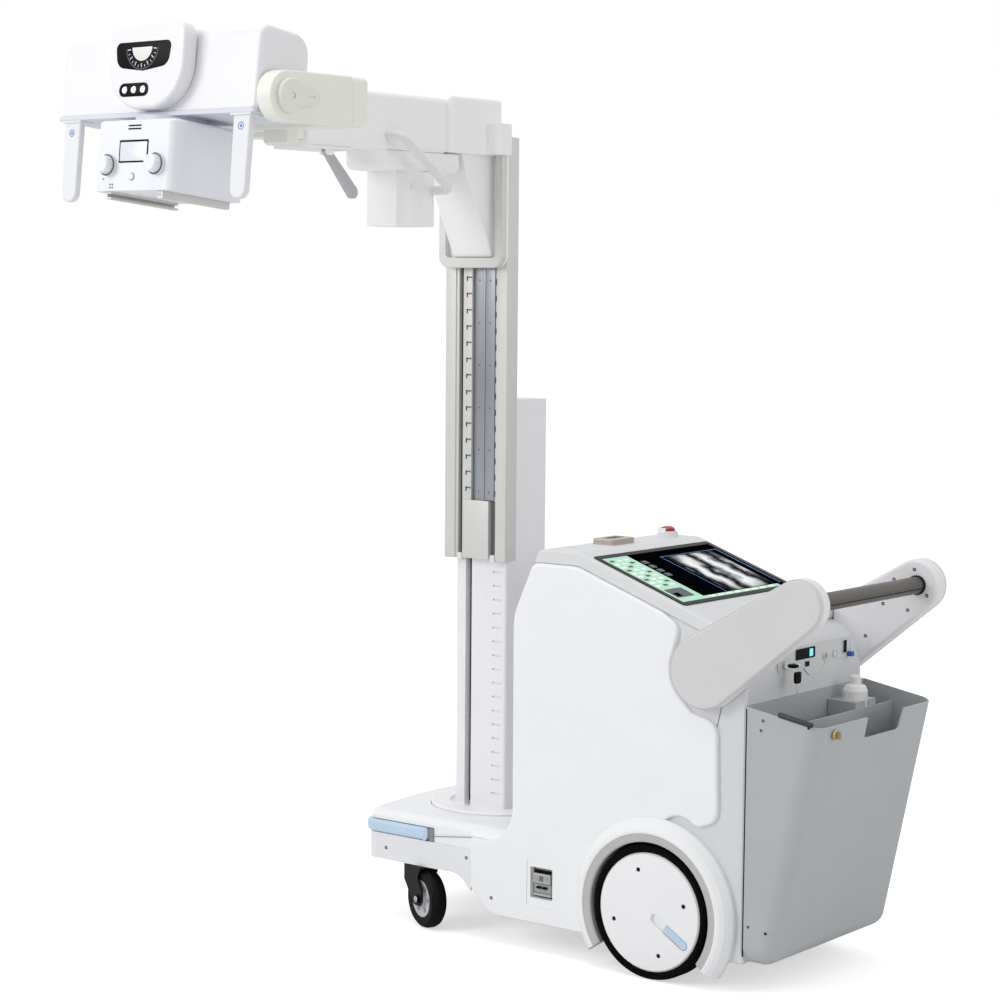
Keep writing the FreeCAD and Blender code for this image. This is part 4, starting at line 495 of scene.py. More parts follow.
@dataclass(frozen=True)
class PictureFinish(Finish):
    """Generic grey picture: pale curved bands that fade into a black field.

    Attributes:
        middle: Point in millimetres round which the bands are brightest.
        bright: Distance in millimetres at which they start to fade.
        reach: Distance in millimetres at which they have faded.
        bands: Number of bands, as the wave pattern counts them.
        bend: How far the bands are bent out of line.
        field: Colour where they have faded.
    """

    middle: Corner = (0.0, 0.0, 0.0)
    bright: float = 70.0
    reach: float = 150.0
    bands: float = 3.6
    bend: float = 4.5
    field: str = "#101215"

    def colours(self, tree: Tree, grains: Socket, place: Socket) -> Socket:
        """Bands times a soft round spot, between black and the main colour."""
        pale = super().colours(tree, grains, place)
        centred = add_node(tree, "VectorMath", {"operation": "SUBTRACT"},
                           {0: place, 1: [c * MM for c in self.middle]})
        bands = add_node(tree, "TexWave", {"wave_type": "BANDS", "bands_direction": "Y"},
                         {"Vector": centred.outputs[0], "Scale": self.bands,
                          "Distortion": self.bend, "Detail": 3.0, "Detail Scale": 4.0,
                          "Phase Offset": 1.0})
        away = add_node(tree, "VectorMath", {"operation": "LENGTH"}, {0: centred.outputs[0]})
        spot_light = add_node(tree, "MapRange", {"interpolation_type": "SMOOTHSTEP"},
                              {0: away.outputs["Value"], 1: self.bright * MM, 2: self.reach * MM,
                               3: 1.0, 4: 0.0})
        share = add_node(tree, "Math", {"operation": "MULTIPLY"},
                         {0: bands.outputs["Fac"], 1: spot_light.outputs[0]})
        mix = add_node(tree, "Mix", {"data_type": "RGBA"},
                       {0: share.outputs[0], 6: linear(self.field), 7: pale})
        return mix.outputs[2]


# Injection-moulded ABS covers: an even white with a faint spark-eroded grain, so a soft sheen
COVER_WHITE = Finish("white_abs_moulded", "cover_white", "#F8F9FB", "#EEF0F3", 0.9, 0.42)
# The arch is moulded white with a flat grey lip next to the tyre
ARCH_WHITE = SplitFinish("arch_abs_moulded", "cover_white", "#F6F7F8", "#ECEDF0", 0.9, 0.42,
                         inner="#BDBDBD", centre=(0, 0, WHEEL_R), counts=(1, 0, 1), reach=190)
# Powder-coated sheet steel: a light grey with a fine orange peel that breaks up reflections
CABINET_GREY = Finish("grey_powder_coat", "cabinet_paint", "#DFE0E2", "#D5D6D9", 1.4, 0.46,
                      bump=0.12)
# Moulded grey ABS of the deck, textured so that it doesn't glare under ward lights
DECK_GREY = Finish("deck_abs_textured", "deck_grey", "#E2E3E5", "#D8D9DB", 0.7, 0.5, bump=0.1)
# The grip arm has a white core between grey outer pads
GRIP_GREY = SplitFinish("grip_arm_abs", "deck_grey", "#D9D9DA", "#D0D0D2", 0.7, 0.5, bump=0.08,
                        inner="#ECECEE", counts=(0, 1, 0), reach=284)
# Thermoformed bin in a grey textured sheet, matt where it was drawn over the mould
BIN_GREY = Finish("bin_sheet_textured", "bin_grey", "#B7BBBD", "#ACB0B3", 0.8, 0.52, bump=0.12)
# Glossy light-blue ABS on what the hand or foot may touch
PALE_BLUE = Finish("pale_blue_abs_gloss", "pale_blue", "#C3DAEE", "#BAD2E8", 1.0, 0.28, coat=0.3)
# Vulcanised rubber: near black, dull, with a mould bloom that lightens it in patches
TYRE_RUBBER = Finish("tyre_rubber_moulded", "tyre_black", "#040405", "#0A0A0B", 1.2, 0.68,
                     swing=0.1, bump=0.2, ior=1.52, specular=0.05)
# Powder-coated steel disc: bright and even, a little smoother than the covers
WHEEL_WHITE = Finish("wheel_disc_powder_coat", "wheel_white", "#F7F7F9", "#EDEEF0", 1.0, 0.4)
# Black rubber tread round a rim of die-cast aluminium
CASTER_WHEEL = SplitFinish("caster_tyre_and_rim", "caster_silver", "#050506", "#0B0B0C", 1.0, 0.5,
                           bump=0.12, specular=0.12, inner="#C4C6C9",
                           centre=(716.2, 250.2, 76), reach=50.6)
# Die-cast aluminium, tumbled to a dull silver
CASTER_SILVER = Finish("caster_die_cast", "caster_silver", "#B9BBBD", "#A4A6A9", 1.0, 0.4,
                       metallic=0.8, ior=1.45)
# Black powder coat: fine orange peel, no clear reflection. The same black is also painted shade in
# grooves, wells, gaps, slots and recesses
BLACK_COAT_AND_SHADE = Finish("black_powder_coat_and_painted_shade", "fork_black", "#0A0A0A", "#121212", 1.0, 0.45,
                    bump=0.12, specular=0.15)
# Glossy black ABS of knobs and windows: deep, with small sharp lights. The same black is also
# painted shade in the well round the breaker's module
BLACK_GLOSS_AND_SHADE = Finish("black_abs_gloss_and_painted_shade", "black_plastic", "#050507", "#0A0A0E", 1.0, 0.3,
                     specular=0.07)
# Black-backed cover glass, polished flat
SCREEN_GLASS = Finish("touch_glass_black", "screen_glass", "#0C0D10", "#08090B", 2.0, 0.12,
                      swing=0.02, bump=0.0, ior=1.52, specular=0.03)
# Chromed steel: clear reflections on a pale ground
POLISHED = Finish("chromed_steel_polished", "polished_metal", "#D9DADB", "#C5C7C9", 0.6, 0.14,
                  swing=0.04, bump=0.01, metallic=1.0, ior=1.45)
# Moulded ABS of the rear panel: pale grey, softly textured
PANEL_LIGHT = Finish("panel_abs_light", "panel_light", "#DDDFE1", "#D2D5D8", 0.8, 0.45)
# Anodised bar, brushed along its length before it was dyed
BAR_GREY = Finish("bar_anodised_brushed", "bar_grey", "#66625F", "#575350", 0.5, 0.42,
                  metallic=0.55, ior=1.45, grain=Grain.ALONG_Y, bump=0.08)
# Powder-coated mast: white and smooth
MAST_WHITE = Finish("mast_powder_coat_white", "column_grey", "#F4F4F7", "#EAEAEE", 1.2, 0.42)
# Extruded aluminium: drawn lines run up it, anodised to a warm grey
COLUMN_GREY = Finish("column_anodised_extrusion", "column_grey", "#D9D9D6", "#CACAC7", 0.7, 0.42,
                     metallic=0.25, ior=1.45, grain=Grain.ALONG_Z, bump=0.06)
# Ground steel rails: cool grey with grinding lines along them
RAIL_METAL = Finish("rail_ground_steel", "rail_metal", "#A5A9B0", "#8E9298", 0.5, 0.3,
                    metallic=0.9, ior=1.45, grain=Grain.ALONG_Z, bump=0.05)
# Moulded ABS, aged to a faint beige
BEZEL_BEIGE = Finish("bezel_abs_beige", "bezel_beige", "#EFEEE8", "#E5E4DD", 0.9, 0.45)
# Stove enamel on the arm's housing: the purest white, satin
ARM_WHITE = Finish("arm_housing_enamel", "arm_white", "#FAFAFA", "#F2F2F2", 1.2, 0.38)
# The same enamel in a warmer white
ARM_BEIGE = Finish("arm_enamel_beige", "arm_beige", "#F5F5EE", "#ECEBE3", 1.2, 0.4)
# Moulded ABS of the head's pod: cool white with a soft gloss
HEAD_WHITE = Finish("head_abs_moulded", "head_white", "#F2F2F5", "#E8E9ED", 0.9, 0.36)
# Moulded skirt of the foot: a shade darker than the covers
SKIRT_WHITE = Finish("skirt_abs_moulded", "cover_white", "#EDEEF1", "#E2E4E8", 0.9, 0.44)
# Painted die casting: mid grey, satin
LEVER_GREY = Finish("lever_die_cast_paint", "rail_metal", "#BBBDC1", "#ABADB2", 0.8, 0.42)
# Aluminium anodised to a pale bronze, with a silky sheen
DOCK_BRONZE = Finish("dock_anodised_bronze", "polished_metal", "#B9B0A8", "#A69C94", 0.6, 0.34,
                     metallic=0.6, ior=1.45)
# Nylon: near white, waxy
GRAB_GREY = Finish("grab_handle_nylon", "polished_metal", "#EAEAED", "#DEDEE2", 0.8, 0.45)
# Moulded ABS of the handles: white with a grey cast
PADDLE_WHITE = Finish("paddle_abs_moulded", "bezel_beige", "#ECEDF0", "#E0E2E6", 0.9, 0.4)
# Enamelled tray: pale blue-grey, satin
HEAD_BLUE_GREY = Finish("head_tray_enamel", "head_blue_grey", "#DDE0E9", "#D2D6E0", 1.1, 0.4)
# Enamelled housing: white with a blue cast
COLLIMATOR_WHITE = Finish("collimator_enamel", "collimator_grey", "#F2F4F9", "#E8EAF1", 1.1, 0.4)
# Satin chrome: bright metal whose reflections are blurred
BUTTON_SILVER = Finish("button_satin_chrome", "button_silver", "#D6D7DA", "#C3C4C8", 0.6, 0.25,
                       metallic=0.9, ior=1.45)
# Glossy red ABS under a clear skin, so a sharp light on deep red
STOP_RED = Finish("stop_red_abs_gloss", "stop_red", "#B41218", "#9E0E14", 1.0, 0.25, coat=0.3)
# Turned brass: pale gold with bright edges
BRASS = Finish("lock_brass_turned", "lock_brass", "#C2B08A", "#AD9A74", 0.5, 0.3, metallic=1.0,
               ior=1.45)
# Blown polythene: milky white, waxy
BOTTLE_WHITE = Finish("bottle_polythene", "bottle_white", "#EDEEEC", "#E4E5E2", 1.5, 0.4)
# Moulded grey ABS, matt
BREAKER_GREY = Finish("breaker_abs_grey", "breaker_grey", "#A6AAA8", "#979B99", 0.7, 0.5)
# Matt battery case: dark grey, hidden in the cabinet
POWER_PACK = Finish("battery_case_matt", "power_pack", "#54585C", "#4A4E52", 1.0, 0.55)
# Enamelled rail with a faint metal sheen
RAIL_DARK = Finish("accessory_rail_enamel", "rail_dark", "#D5D5D3", "#C4C4C2", 1.0, 0.4,
                   metallic=0.3, ior=1.45)
# Painted steel frame: mid grey, dull
STEEL_PAINT = Finish("frame_steel_paint", "frame_steel", "#8C8F91", "#808385", 1.2, 0.5)
# Unlit field of the display: black, no reflection
SCREEN_FIELD = Finish("screen_dark_field", "screen_glass", "#040507", "#07080B", 4.0, 0.4,
                      swing=0.02, bump=0.0, specular=0.0)
# Lit display fields: flat pale colours that glow a little
SCREEN_GREEN = Finish("screen_green_strip", "screen_glass", "#A9DCC0", "#9FD3B6", 4.0, 0.12,
                      swing=0.02, bump=0.0, glow=0.22, specular=0.12)
SCREEN_BUTTON = Finish("screen_pale_button", "screen_glass", "#E8F4EE", "#D6EAE0", 3.0, 0.12,
                       swing=0.02, bump=0.0, glow=0.22, specular=0.12)
SCREEN_BLUE = Finish("screen_blue_line", "screen_glass", "#3E86C8", "#3578B8", 3.0, 0.12,
                     swing=0.02, bump=0.0, glow=0.22, specular=0.12)
# Lit grey picture on the display
SCREEN_PICTURE = PictureFinish("screen_grey_picture", "screen_glass", "#F0F2F4", "#D2D6DA", 6.0,
                               0.4, swing=0.02, bump=0.0, glow=0.25, specular=0.0,
                               middle=(-66, 92, 943))
# Dim tool fields of the display
SCREEN_GREY = Finish("screen_grey_tool", "screen_glass", "#4A5256", "#3C4448", 6.0, 0.2,
                     swing=0.02, bump=0.0, specular=0.1)
# Lit digits: cyan, brighter than what stands round them
DISPLAY_CYAN = Finish("display_cyan_digit", "black_plastic", "#7FE3F2", "#6FD6E6", 3.0, 0.3,
                      swing=0.02, bump=0.0, glow=0.6)
# Unlit liquid crystal pane: pale grey, smooth
LCD_PANE = Finish("lcd_pale_pane", "black_plastic", "#E9ECF2", "#DDE1E9", 3.0, 0.2, swing=0.02,
                  bump=0.0)
# Blue ink printed on ABS: flat, no relief
INK_BLUE = Finish("printed_blue_ring", "bezel_beige", "#5B8FD0", "#5084C4", 2.0, 0.4, bump=0.0)
# Blue nylon plug: saturated, satin
PORT_BLUE = Finish("plug_blue_nylon", "black_plastic", "#2F66B8", "#2A5CA6", 1.0, 0.4)
# Dark blue ink on the dial
DIAL_BLUE = Finish("dial_blue_print", "black_plastic", "#2A3350", "#222A44", 2.0, 0.3, bump=0.0)
# Moulded ABS of the breaker's module: pale grey
BREAKER_LIGHT = Finish("breaker_module_abs", "breaker_grey", "#B9BCB8", "#A9ADA9", 0.8, 0.45)
# Rubber grip on the bin's rim: charcoal, dull
GRIP_BLACK = Finish("bin_grip_rubber", "tyre_black", "#2A2C31", "#1F2125", 0.8, 0.45)
# Shadow in a seam: a dark grey line without gloss
SEAM_DARK = Finish("seam_shadow_gap", "cabinet_paint", "#6E7073", "#5E6063", 1.0, 0.7)

CAD_FINISHES = (COVER_WHITE, CABINET_GREY, DECK_GREY, BIN_GREY, PALE_BLUE, TYRE_RUBBER,
                WHEEL_WHITE, CASTER_SILVER, BLACK_COAT_AND_SHADE, BLACK_GLOSS_AND_SHADE, SCREEN_GLASS, POLISHED,
                PANEL_LIGHT, BAR_GREY, COLUMN_GREY, RAIL_METAL, BEZEL_BEIGE, ARM_WHITE, ARM_BEIGE,
                HEAD_WHITE, HEAD_BLUE_GREY, COLLIMATOR_WHITE, BUTTON_SILVER, STOP_RED, BRASS,
                BOTTLE_WHITE, BREAKER_GREY, POWER_PACK, RAIL_DARK, STEEL_PAINT)
NODE_FINISHES = {"wheel_arches": ARCH_WHITE, "handle_arms": GRIP_GREY, "mast": MAST_WHITE,
                 "caster_wheel_near": CASTER_WHEEL, "caster_wheel_far": CASTER_WHEEL,
                 "carriage": ARM_WHITE, "carriage_bezel": COLUMN_GREY, "breaker": COVER_WHITE,
                 "grab_handle": GRAB_GREY, "foot_skirt": SKIRT_WHITE, "deck_dock": DOCK_BRONZE,
                 "head_handles": PADDLE_WHITE, "collimator_knob_left": COLLIMATOR_WHITE,
                 "collimator_knob_right": COLLIMATOR_WHITE, "collimator_button": COLLIMATOR_WHITE,
                 "lock_knob": BEZEL_BEIGE, "arm_lever": LEVER_GREY, "chassis": STEEL_PAINT}


def finish_nodes() -> None:
    """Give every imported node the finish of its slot, or its own where it has one."""
    by_slot = {finish.slot: finish for finish in reversed(CAD_FINISHES)}
    for name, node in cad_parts.items():
        for holder in node.material_slots:
            slot = holder.material.name.split(".")[0]
            if name in NODE_FINISHES:
                holder.material = NODE_FINISHES[name].material()
            elif slot in by_slot:
                holder.material = by_slot[slot].material()
        log.info("node %s finished", name)


def dress(obj: Piece, finish: Finish, body: str = "cabinet") -> Piece:
    """Give a piece its finish and let it ride on a body.

    Args:
        obj: Piece to dress.
        finish: Its finish.
        body: Body that it moves with.

    Returns:
        The same piece.
    """
    obj.data.materials.clear()
    obj.data.materials.append(finish.material())
    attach(obj, body)
    log.info("piece %s on %s in %s", obj.name, body, finish.name)
    return obj


# Studio

@dataclass
class Studio:
    """Floor, soft light and the camera at the photograph's place."""

    floor_half: float = 60.0
    camera_at: Corner = (3.292, -5.080, 1.650)
    azimuth: float = 38.06
    pitch: float = 5.0
    roll: float = -0.468
    lens: float = 89.66
    sensor: float = 36.0
    sky: float = 0.56
    paper: str = "#F4F4F4"
    white: str = "#FFFFFF"
    paper_glow: float = 0.55
    subject: Corner = (-0.3, -0.3, 1.0)
    lamps: dict[str, tuple[Corner, float, float]] = field(default_factory=lambda: {
        "key": ((-3.4, -6.0, 4.0), 3.0, 150.0),
        "top": ((-0.8, -0.8, 6.4), 4.0, 85.0),
        "fill": ((6.0, 0.5, 2.8), 3.0, 46.0)})

    def build(self) -> None:
        """Set the whole stage."""
        self.lay_floor()
        self.light()
        self.aim()
        bpy.context.scene.view_settings.view_transform = "Standard"

    def lay_floor(self) -> None:
        """White floor that keeps the shadows and fades to white for the camera."""
        deselect()
        bpy.ops.mesh.primitive_plane_add(size=2 * self.floor_half)
        floor = named("studio_floor")
        made = bpy.data.materials.new("studio_white_paper")
        made.use_nodes = True
        tree = made.node_tree
        tree.nodes.clear()
        paper = add_node(tree, "BsdfDiffuse", {}, {"Color": linear(self.paper)})
        glow = add_node(tree, "Emission", {}, {"Color": linear(self.white),
                                                         "Strength": self.paper_glow})
        lit = add_node(tree, "AddShader", {}, {0: paper.outputs[0], 1: glow.outputs[0]})
        path = add_node(tree, "LightPath", {}, {})
        seen = add_node(tree, "MixShader", {}, {0: path.outputs["Is Camera Ray"],
                                                          1: paper.outputs[0],
                                                          2: lit.outputs[0]})
        add_node(tree, "OutputMaterial", {}, {"Surface": seen.outputs[0]})
        floor.data.materials.append(made)

    def light(self) -> None:
        """White world for the eye and soft lamps for the object."""
        world = bpy.data.worlds.new("studio_white")
        bpy.context.scene.world = world
        world.use_nodes = True
        tree = world.node_tree
        tree.nodes.clear()
        path = add_node(tree, "LightPath", {}, {})
        eye = add_node(tree, "Math", {"operation": "MAXIMUM"},
                       {0: path.outputs["Is Camera Ray"], 1: path.outputs["Is Transmission Ray"]})
        bright = add_node(tree, "Math", {"operation": "MAXIMUM"},
                          {0: eye.outputs[0], 1: path.outputs["Is Glossy Ray"]})
        level = add_node(tree, "MapRange", {}, {"Value": bright.outputs[0],
                                                          "To Min": self.sky, "To Max": 1.0})
        sky = add_node(tree, "Background", {}, {"Color": linear(self.white),
                                                          "Strength": level.outputs[0]})
        add_node(tree, "OutputWorld", {}, {"Surface": sky.outputs[0]})
        for name, (place, size, watts) in self.lamps.items():
            lamp = bpy.data.lights.new(name, "AREA")
            lamp.size = size
            lamp.energy = watts
            holder = bpy.data.objects.new(name, lamp)
            holder.location = place
            aim = Vector(self.subject) - Vector(place)
            holder.rotation_euler = aim.to_track_quat("-Z", "Y").to_euler()
            bpy.context.scene.collection.objects.link(holder)

    def aim(self) -> None:
        """Put the camera where the photograph was taken."""
        turn, dip, lean = (math.radians(a) for a in (self.azimuth, self.pitch, self.roll))
        ahead = Vector((-math.sin(turn) * math.cos(dip), math.cos(turn) * math.cos(dip),
                        -math.sin(dip)))
        right = Vector((math.cos(turn), math.sin(turn), 0))
        down = ahead.cross(right)
        across = right * math.cos(lean) + down * math.sin(lean)
        below = down * math.cos(lean) - right * math.sin(lean)
        camera = bpy.data.objects.new("camera", bpy.data.cameras.new("camera"))
        camera.data.lens = self.lens
        camera.data.sensor_width = self.sensor
        turned = Matrix((across, -below, -ahead)).transposed().to_4x4()
        camera.matrix_world = Matrix.Translation(self.camera_at) @ turned
        bpy.context.scene.collection.objects.link(camera)
        bpy.context.scene.camera = camera


# Sub-assemblies

def cap_screw(name: str, at: Corner, axis: Corner, radius: float, body: str = "cabinet") -> None:
    """Countersunk cap screw: a dished metal seat round a dark socket head.

    Args:
        name: Name that its two pieces start with.
        at: Point on the surface where it sits, in millimetres.
        axis: Unit direction out of the surface.
        radius: Outer radius of the seat.
        body: Body that it moves with.
    """
    hole, socket = radius * 0.78, radius * 0.3
    ring = [(hole, -0.6), (hole, 0.1), (radius * 0.88, 0.5), (radius, 0.3), (radius, -0.6)]
    dress(lathe(f"{name}_seat", ring, at, axis, SCREW_STEPS), CASTER_SILVER, body)
    cup = [(0, -0.5), (socket, -0.5), (radius * 0.34, 0.25), (hole, 0.15), (hole, -0.9), (0, -0.9)]
    dress(lathe(f"{name}_head", cup, at, axis, SCREW_STEPS), BLACK_COAT_AND_SHADE, body)


@dataclass
class DriveWheel:
    """Screws of a drive wheel's disc, on the near or far side."""

    side: str
    screws: int = 4
    screw_r: float = 104.0
    screw_turn: float = 17.0
    screw_head: float = 6.4
    face: float = 291.8

    def build(self) -> None:
        """Screws on the disc."""
        sign = dict(SIDES)[self.side]
        for i in range(self.screws):
            angle = math.radians(self.screw_turn + 360 / self.screws * i)
            x, z = self.screw_r * math.cos(angle), WHEEL_R + self.screw_r * math.sin(angle)
            cap_screw(f"disc_screw_{self.side}_{i}", (x, sign * self.face, z), (0, sign, 0),
                      self.screw_head, f"drive_wheel_{self.side}")


@dataclass
class Cabinet:
    """Screws, seams, bumper ends and caster nuts of both sides, and the breaker's module."""

    cover_y: float = 272.0
    skirt_y: float = 267.0
    screw_r: float = 5.0
    cover_screw: Pair = (-490.0, 116.0)
    skirt_screws: tuple[Pair, ...] = ((-841, 191), (-575, 204))
    arch_screw: Corner = (93, 281, 356)
    arch_out: Corner = (0.3, 0.75, 0.59)
    pillar_y: float = 260.1
    pillar_line: tuple[Pair, Pair] = ((183, 701), (113, 404))
    foot_y: float = 267.1
    foot_line: tuple[Pair, Pair] = ((-684, 243), (-559, 259))
    step_x: Pair = (-558.6, -452)
    step: tuple[Pair, ...] = ((250, 262.4), (271.4, 262.4), (271, 266), (268.6, 271.5),
                              (265, 276.2), (260.5, 280.6), (256, 284), (250, 286))
    bumper_at: Pair = (-709, 246)
    bumper_r: Pair = (11, 15.8)
    bumper_back: float = -712
    bumper_y: Pair = (253.4, 274.6)
    well_y: Pair = (250, 252)
    well_low: Pair = (-760, 226)
    well_high: Pair = (-680, 268)
    caster_at: Corner = (-716.2, 250.2, 76)
    caster_turn: Pair = (-0.3746, 0.9272)
    axle_reach: float = 34.0
    breaker_x: float = -335.5
    stop_at: Pair = (-290, 195)
    stop_z: Pair = (1001.5, 1026)

    def build(self) -> None:
        """Dress both sides of the cabinet and foot."""
        for side, sign in SIDES:
            self.screws(side, sign)
            self.fill_step(side, sign)
            self.seam(f"pillar_seam_{side}", self.pillar_line, sign * self.pillar_y, 1.0)
            self.seam(f"foot_seam_{side}", self.foot_line, sign * self.foot_y, 0.8)
            self.bumper_end(side, sign)
            self.axle_nut(side, sign)
        self.breaker_module()
        guard = arc(self.stop_at, 25.5, 150, 290, 18) + arc(self.stop_at, 19.8, 290, 150, 18)
        dress(plate("stop_guard", Plane.XY, guard, *self.stop_z, 2), COVER_WHITE)

    def screws(self, side: str, sign: int) -> None:
        """Cap screws of the cover, the skirt and the wheel arch."""
        x, z = self.cover_screw
        out = (0, sign, 0)
        cap_screw(f"cover_screw_{side}", (x, sign * self.cover_y, z), out, self.screw_r)
        for i, (x, z) in enumerate(self.skirt_screws):
            cap_screw(f"skirt_screw_{side}_{i}", (x, sign * self.skirt_y, z), out, self.screw_r)
        (x, y, z), (ox, oy, oz) = self.arch_screw, self.arch_out
        cap_screw(f"arch_screw_{side}", (x, sign * y, z), (ox, sign * oy, oz), self.screw_r)

    def seam(self, name: str, line: tuple[Pair, Pair], y: float, radius: float) -> None:
        """Shadow line between two covers.

        Args:
            name: Name of the piece.
            line: Its ends as (x, z).
            y: Its place across the machine.
            radius: Half its width.
        """
        (x0, z0), (x1, z1) = line
        dress(bar(name, (x0, y, z0), (x1, y, z1), radius, 0, 8), SEAM_DARK)

    def bumper_end(self, side: str, sign: int) -> None:
        """Rounded end of the bumper, and a black plate painted as the shade in the well that it
        slides in.
        """
        (x, z), (rx, rz) = self.bumper_at, self.bumper_r
        nose = [(x + rx * math.cos(t), z + rz * math.sin(t))
                for t in (math.radians(-90 + 15 * i) for i in range(13))]
        outline = [(self.bumper_back, z - rz)] + nose + [(self.bumper_back, z + rz)]
        low, high = sorted(sign * y for y in self.bumper_y)
        dress(plate(f"bumper_cap_{side}", Plane.XZ, outline, low, high, 2), PALE_BLUE, "bumper")
        # The well's plate is painted shade: black where the recess behind the bumper lies in
        # shadow.
        low, high = sorted(sign * y for y in self.well_y)
        (x0, z0), (x1, z1) = self.well_low, self.well_high
        well = block(f"bumper_well_shade_{side}", (x0, low, z0), (x1, high, z1), 0)
        dress(well, BLACK_COAT_AND_SHADE)

    def axle_nut(self, side: str, sign: int) -> None:
        """Nut on the end of a caster's axle."""
        x, y, z = self.caster_at
        axis = Vector((self.caster_turn[0], sign * self.caster_turn[1], 0))
        centre = Vector((x, sign * y, z)) + axis * self.axle_reach
        nut = [(0, -2), (0, 1.6), (6.5, 1.6), (8.4, 0.2), (8.4, -2)]
        dress(lathe(f"axle_nut_{side}", nut, tuple(centre), tuple(axis), 24), CASTER_SILVER,
              f"caster_swivel_{side}")

    def fill_step(self, side: str, sign: int) -> None:
        """Moulded step that closes the hood's edge where the side cover starts."""
        points = [(sign * y, z) for y, z in self.step]
        dress(plate(f"hood_step_{side}", Plane.YZ, points, *self.step_x), COVER_WHITE)

    def breaker_module(self) -> None:
        """Grey two-pole module with its three windows, in front of black plates painted as the
        shade in the breaker's recess and well.
        """
        x = self.breaker_x
        # The recess and well plates are painted shade: black where the breaker's recess lies in
        # shadow.
        for name, half, (y0, y1), (z0, z1), edge, finish in (
                ("recess_shade", 34.1, (-252.4, -251.0), (137.4, 214.6), 0, BLACK_COAT_AND_SHADE),
                ("well", 27, (-263.4, -263.0), (143, 209), 0, BLACK_GLOSS_AND_SHADE),
                ("top", 26, (-269.5, -263.2), (176, 200), 1.2, BREAKER_LIGHT),
                ("middle", 26, (-263.9, -263.2), (151, 174), 0.2, BREAKER_GREY),
                ("foot", 26, (-266.0, -263.2), (143.4, 150), 0.8, BREAKER_LIGHT)):
            piece = block(f"breaker_{name}", (x - half, y0, z0), (x + half, y1, z1), edge)
            dress(piece, finish)
        for i, finish in enumerate((BREAKER_GREY, SEAM_DARK, BREAKER_GREY)):
            left = x - 23 + i * 16
            window = block(f"breaker_window_{i}", (left, -270.0, 181), (left + 13, -269.4, 195),
                           0.2)
            dress(window, finish)


@dataclass
class TouchScreen:
    """Generic picture on the console's touch screen, as fields on its glass."""

    top_x: float = -207.0
    deck_top: float = 1002.0
    flat_end: float = -238.0
    slope: float = math.radians(19.4)
    glass_up: float = 1.0
    layer: float = 0.12
    sunk: float = 0.3
    half: float = 232.0
    near: float = 16.0
    far: float = 268.0
    split: float = -128.0

    def on_glass(self, name: str, low: Pair, high: Pair, layer: int, finish: Finish) -> None:
        """Thin field of the picture.

        Args:
            name: Name of the piece, after the screen's.
            low: Its lowest corner as (down the slope, across), in millimetres.
            high: Its highest corner.
            layer: Number of fields that it lies on.
            finish: Its finish.
        """
        lift = self.glass_up + self.layer * layer
        piece = block(f"screen_{name}", (*low, lift - self.sunk), (*high, lift + self.layer), 0)
        top_z = self.deck_top - (self.top_x - self.flat_end) * math.tan(self.slope)
        place = (Matrix.Translation(Vector((self.top_x, 0, top_z)) * MM)
                 @ Matrix.Rotation(self.slope, 4, "Y"))
        dress(settle(piece, place), finish)

    def build(self) -> None:
        """Dark field, green strips with their buttons, and the grey picture."""
        near, far, half, split = self.near, self.far, self.half, self.split
        for name, low, high, layer, finish in (
                ("field", (near, -half), (far, half), 0, SCREEN_FIELD),
                ("side_strip", (near, -half), (far, split), 1, SCREEN_GREEN),
                ("low_strip", (far - 13, split), (far, 205), 1, SCREEN_GREEN),
                ("blue_edge", (44, -22), (252, 226), 1, SCREEN_BLUE),
                ("black_edge", (46, -20), (252, 222), 2, SCREEN_FIELD),
                ("picture", (50, -8), (252, 196), 3, SCREEN_PICTURE)):
            self.on_glass(name, low, high, layer, finish)
        for row in range(9):
            for column in range(3):
                s, y = 30 + row * 18, -222 + column * 30
                self.on_glass(f"key_{row}_{column}", (s, y), (s + 9, y + 18), 2,
                              SCREEN_BUTTON if (row + column) % 3 else SCREEN_GREY)
        self.on_glass("curve_box", (200, -222), (246, -150), 2, SCREEN_GREY)
        self.on_glass("curve_bar", (222, -214), (240, -192), 3, SCREEN_FIELD)
        for i in range(8):
            y = -110 + i * 38
            self.on_glass(f"low_key_{i}", (far - 11, y), (far - 3, y + 24), 2, SCREEN_BUTTON)
        for i in range(4):
            s = 52 + i * 24
            self.on_glass(f"tool_{i}", (s, -118), (s + 16, -96), 2, SCREEN_GREY)


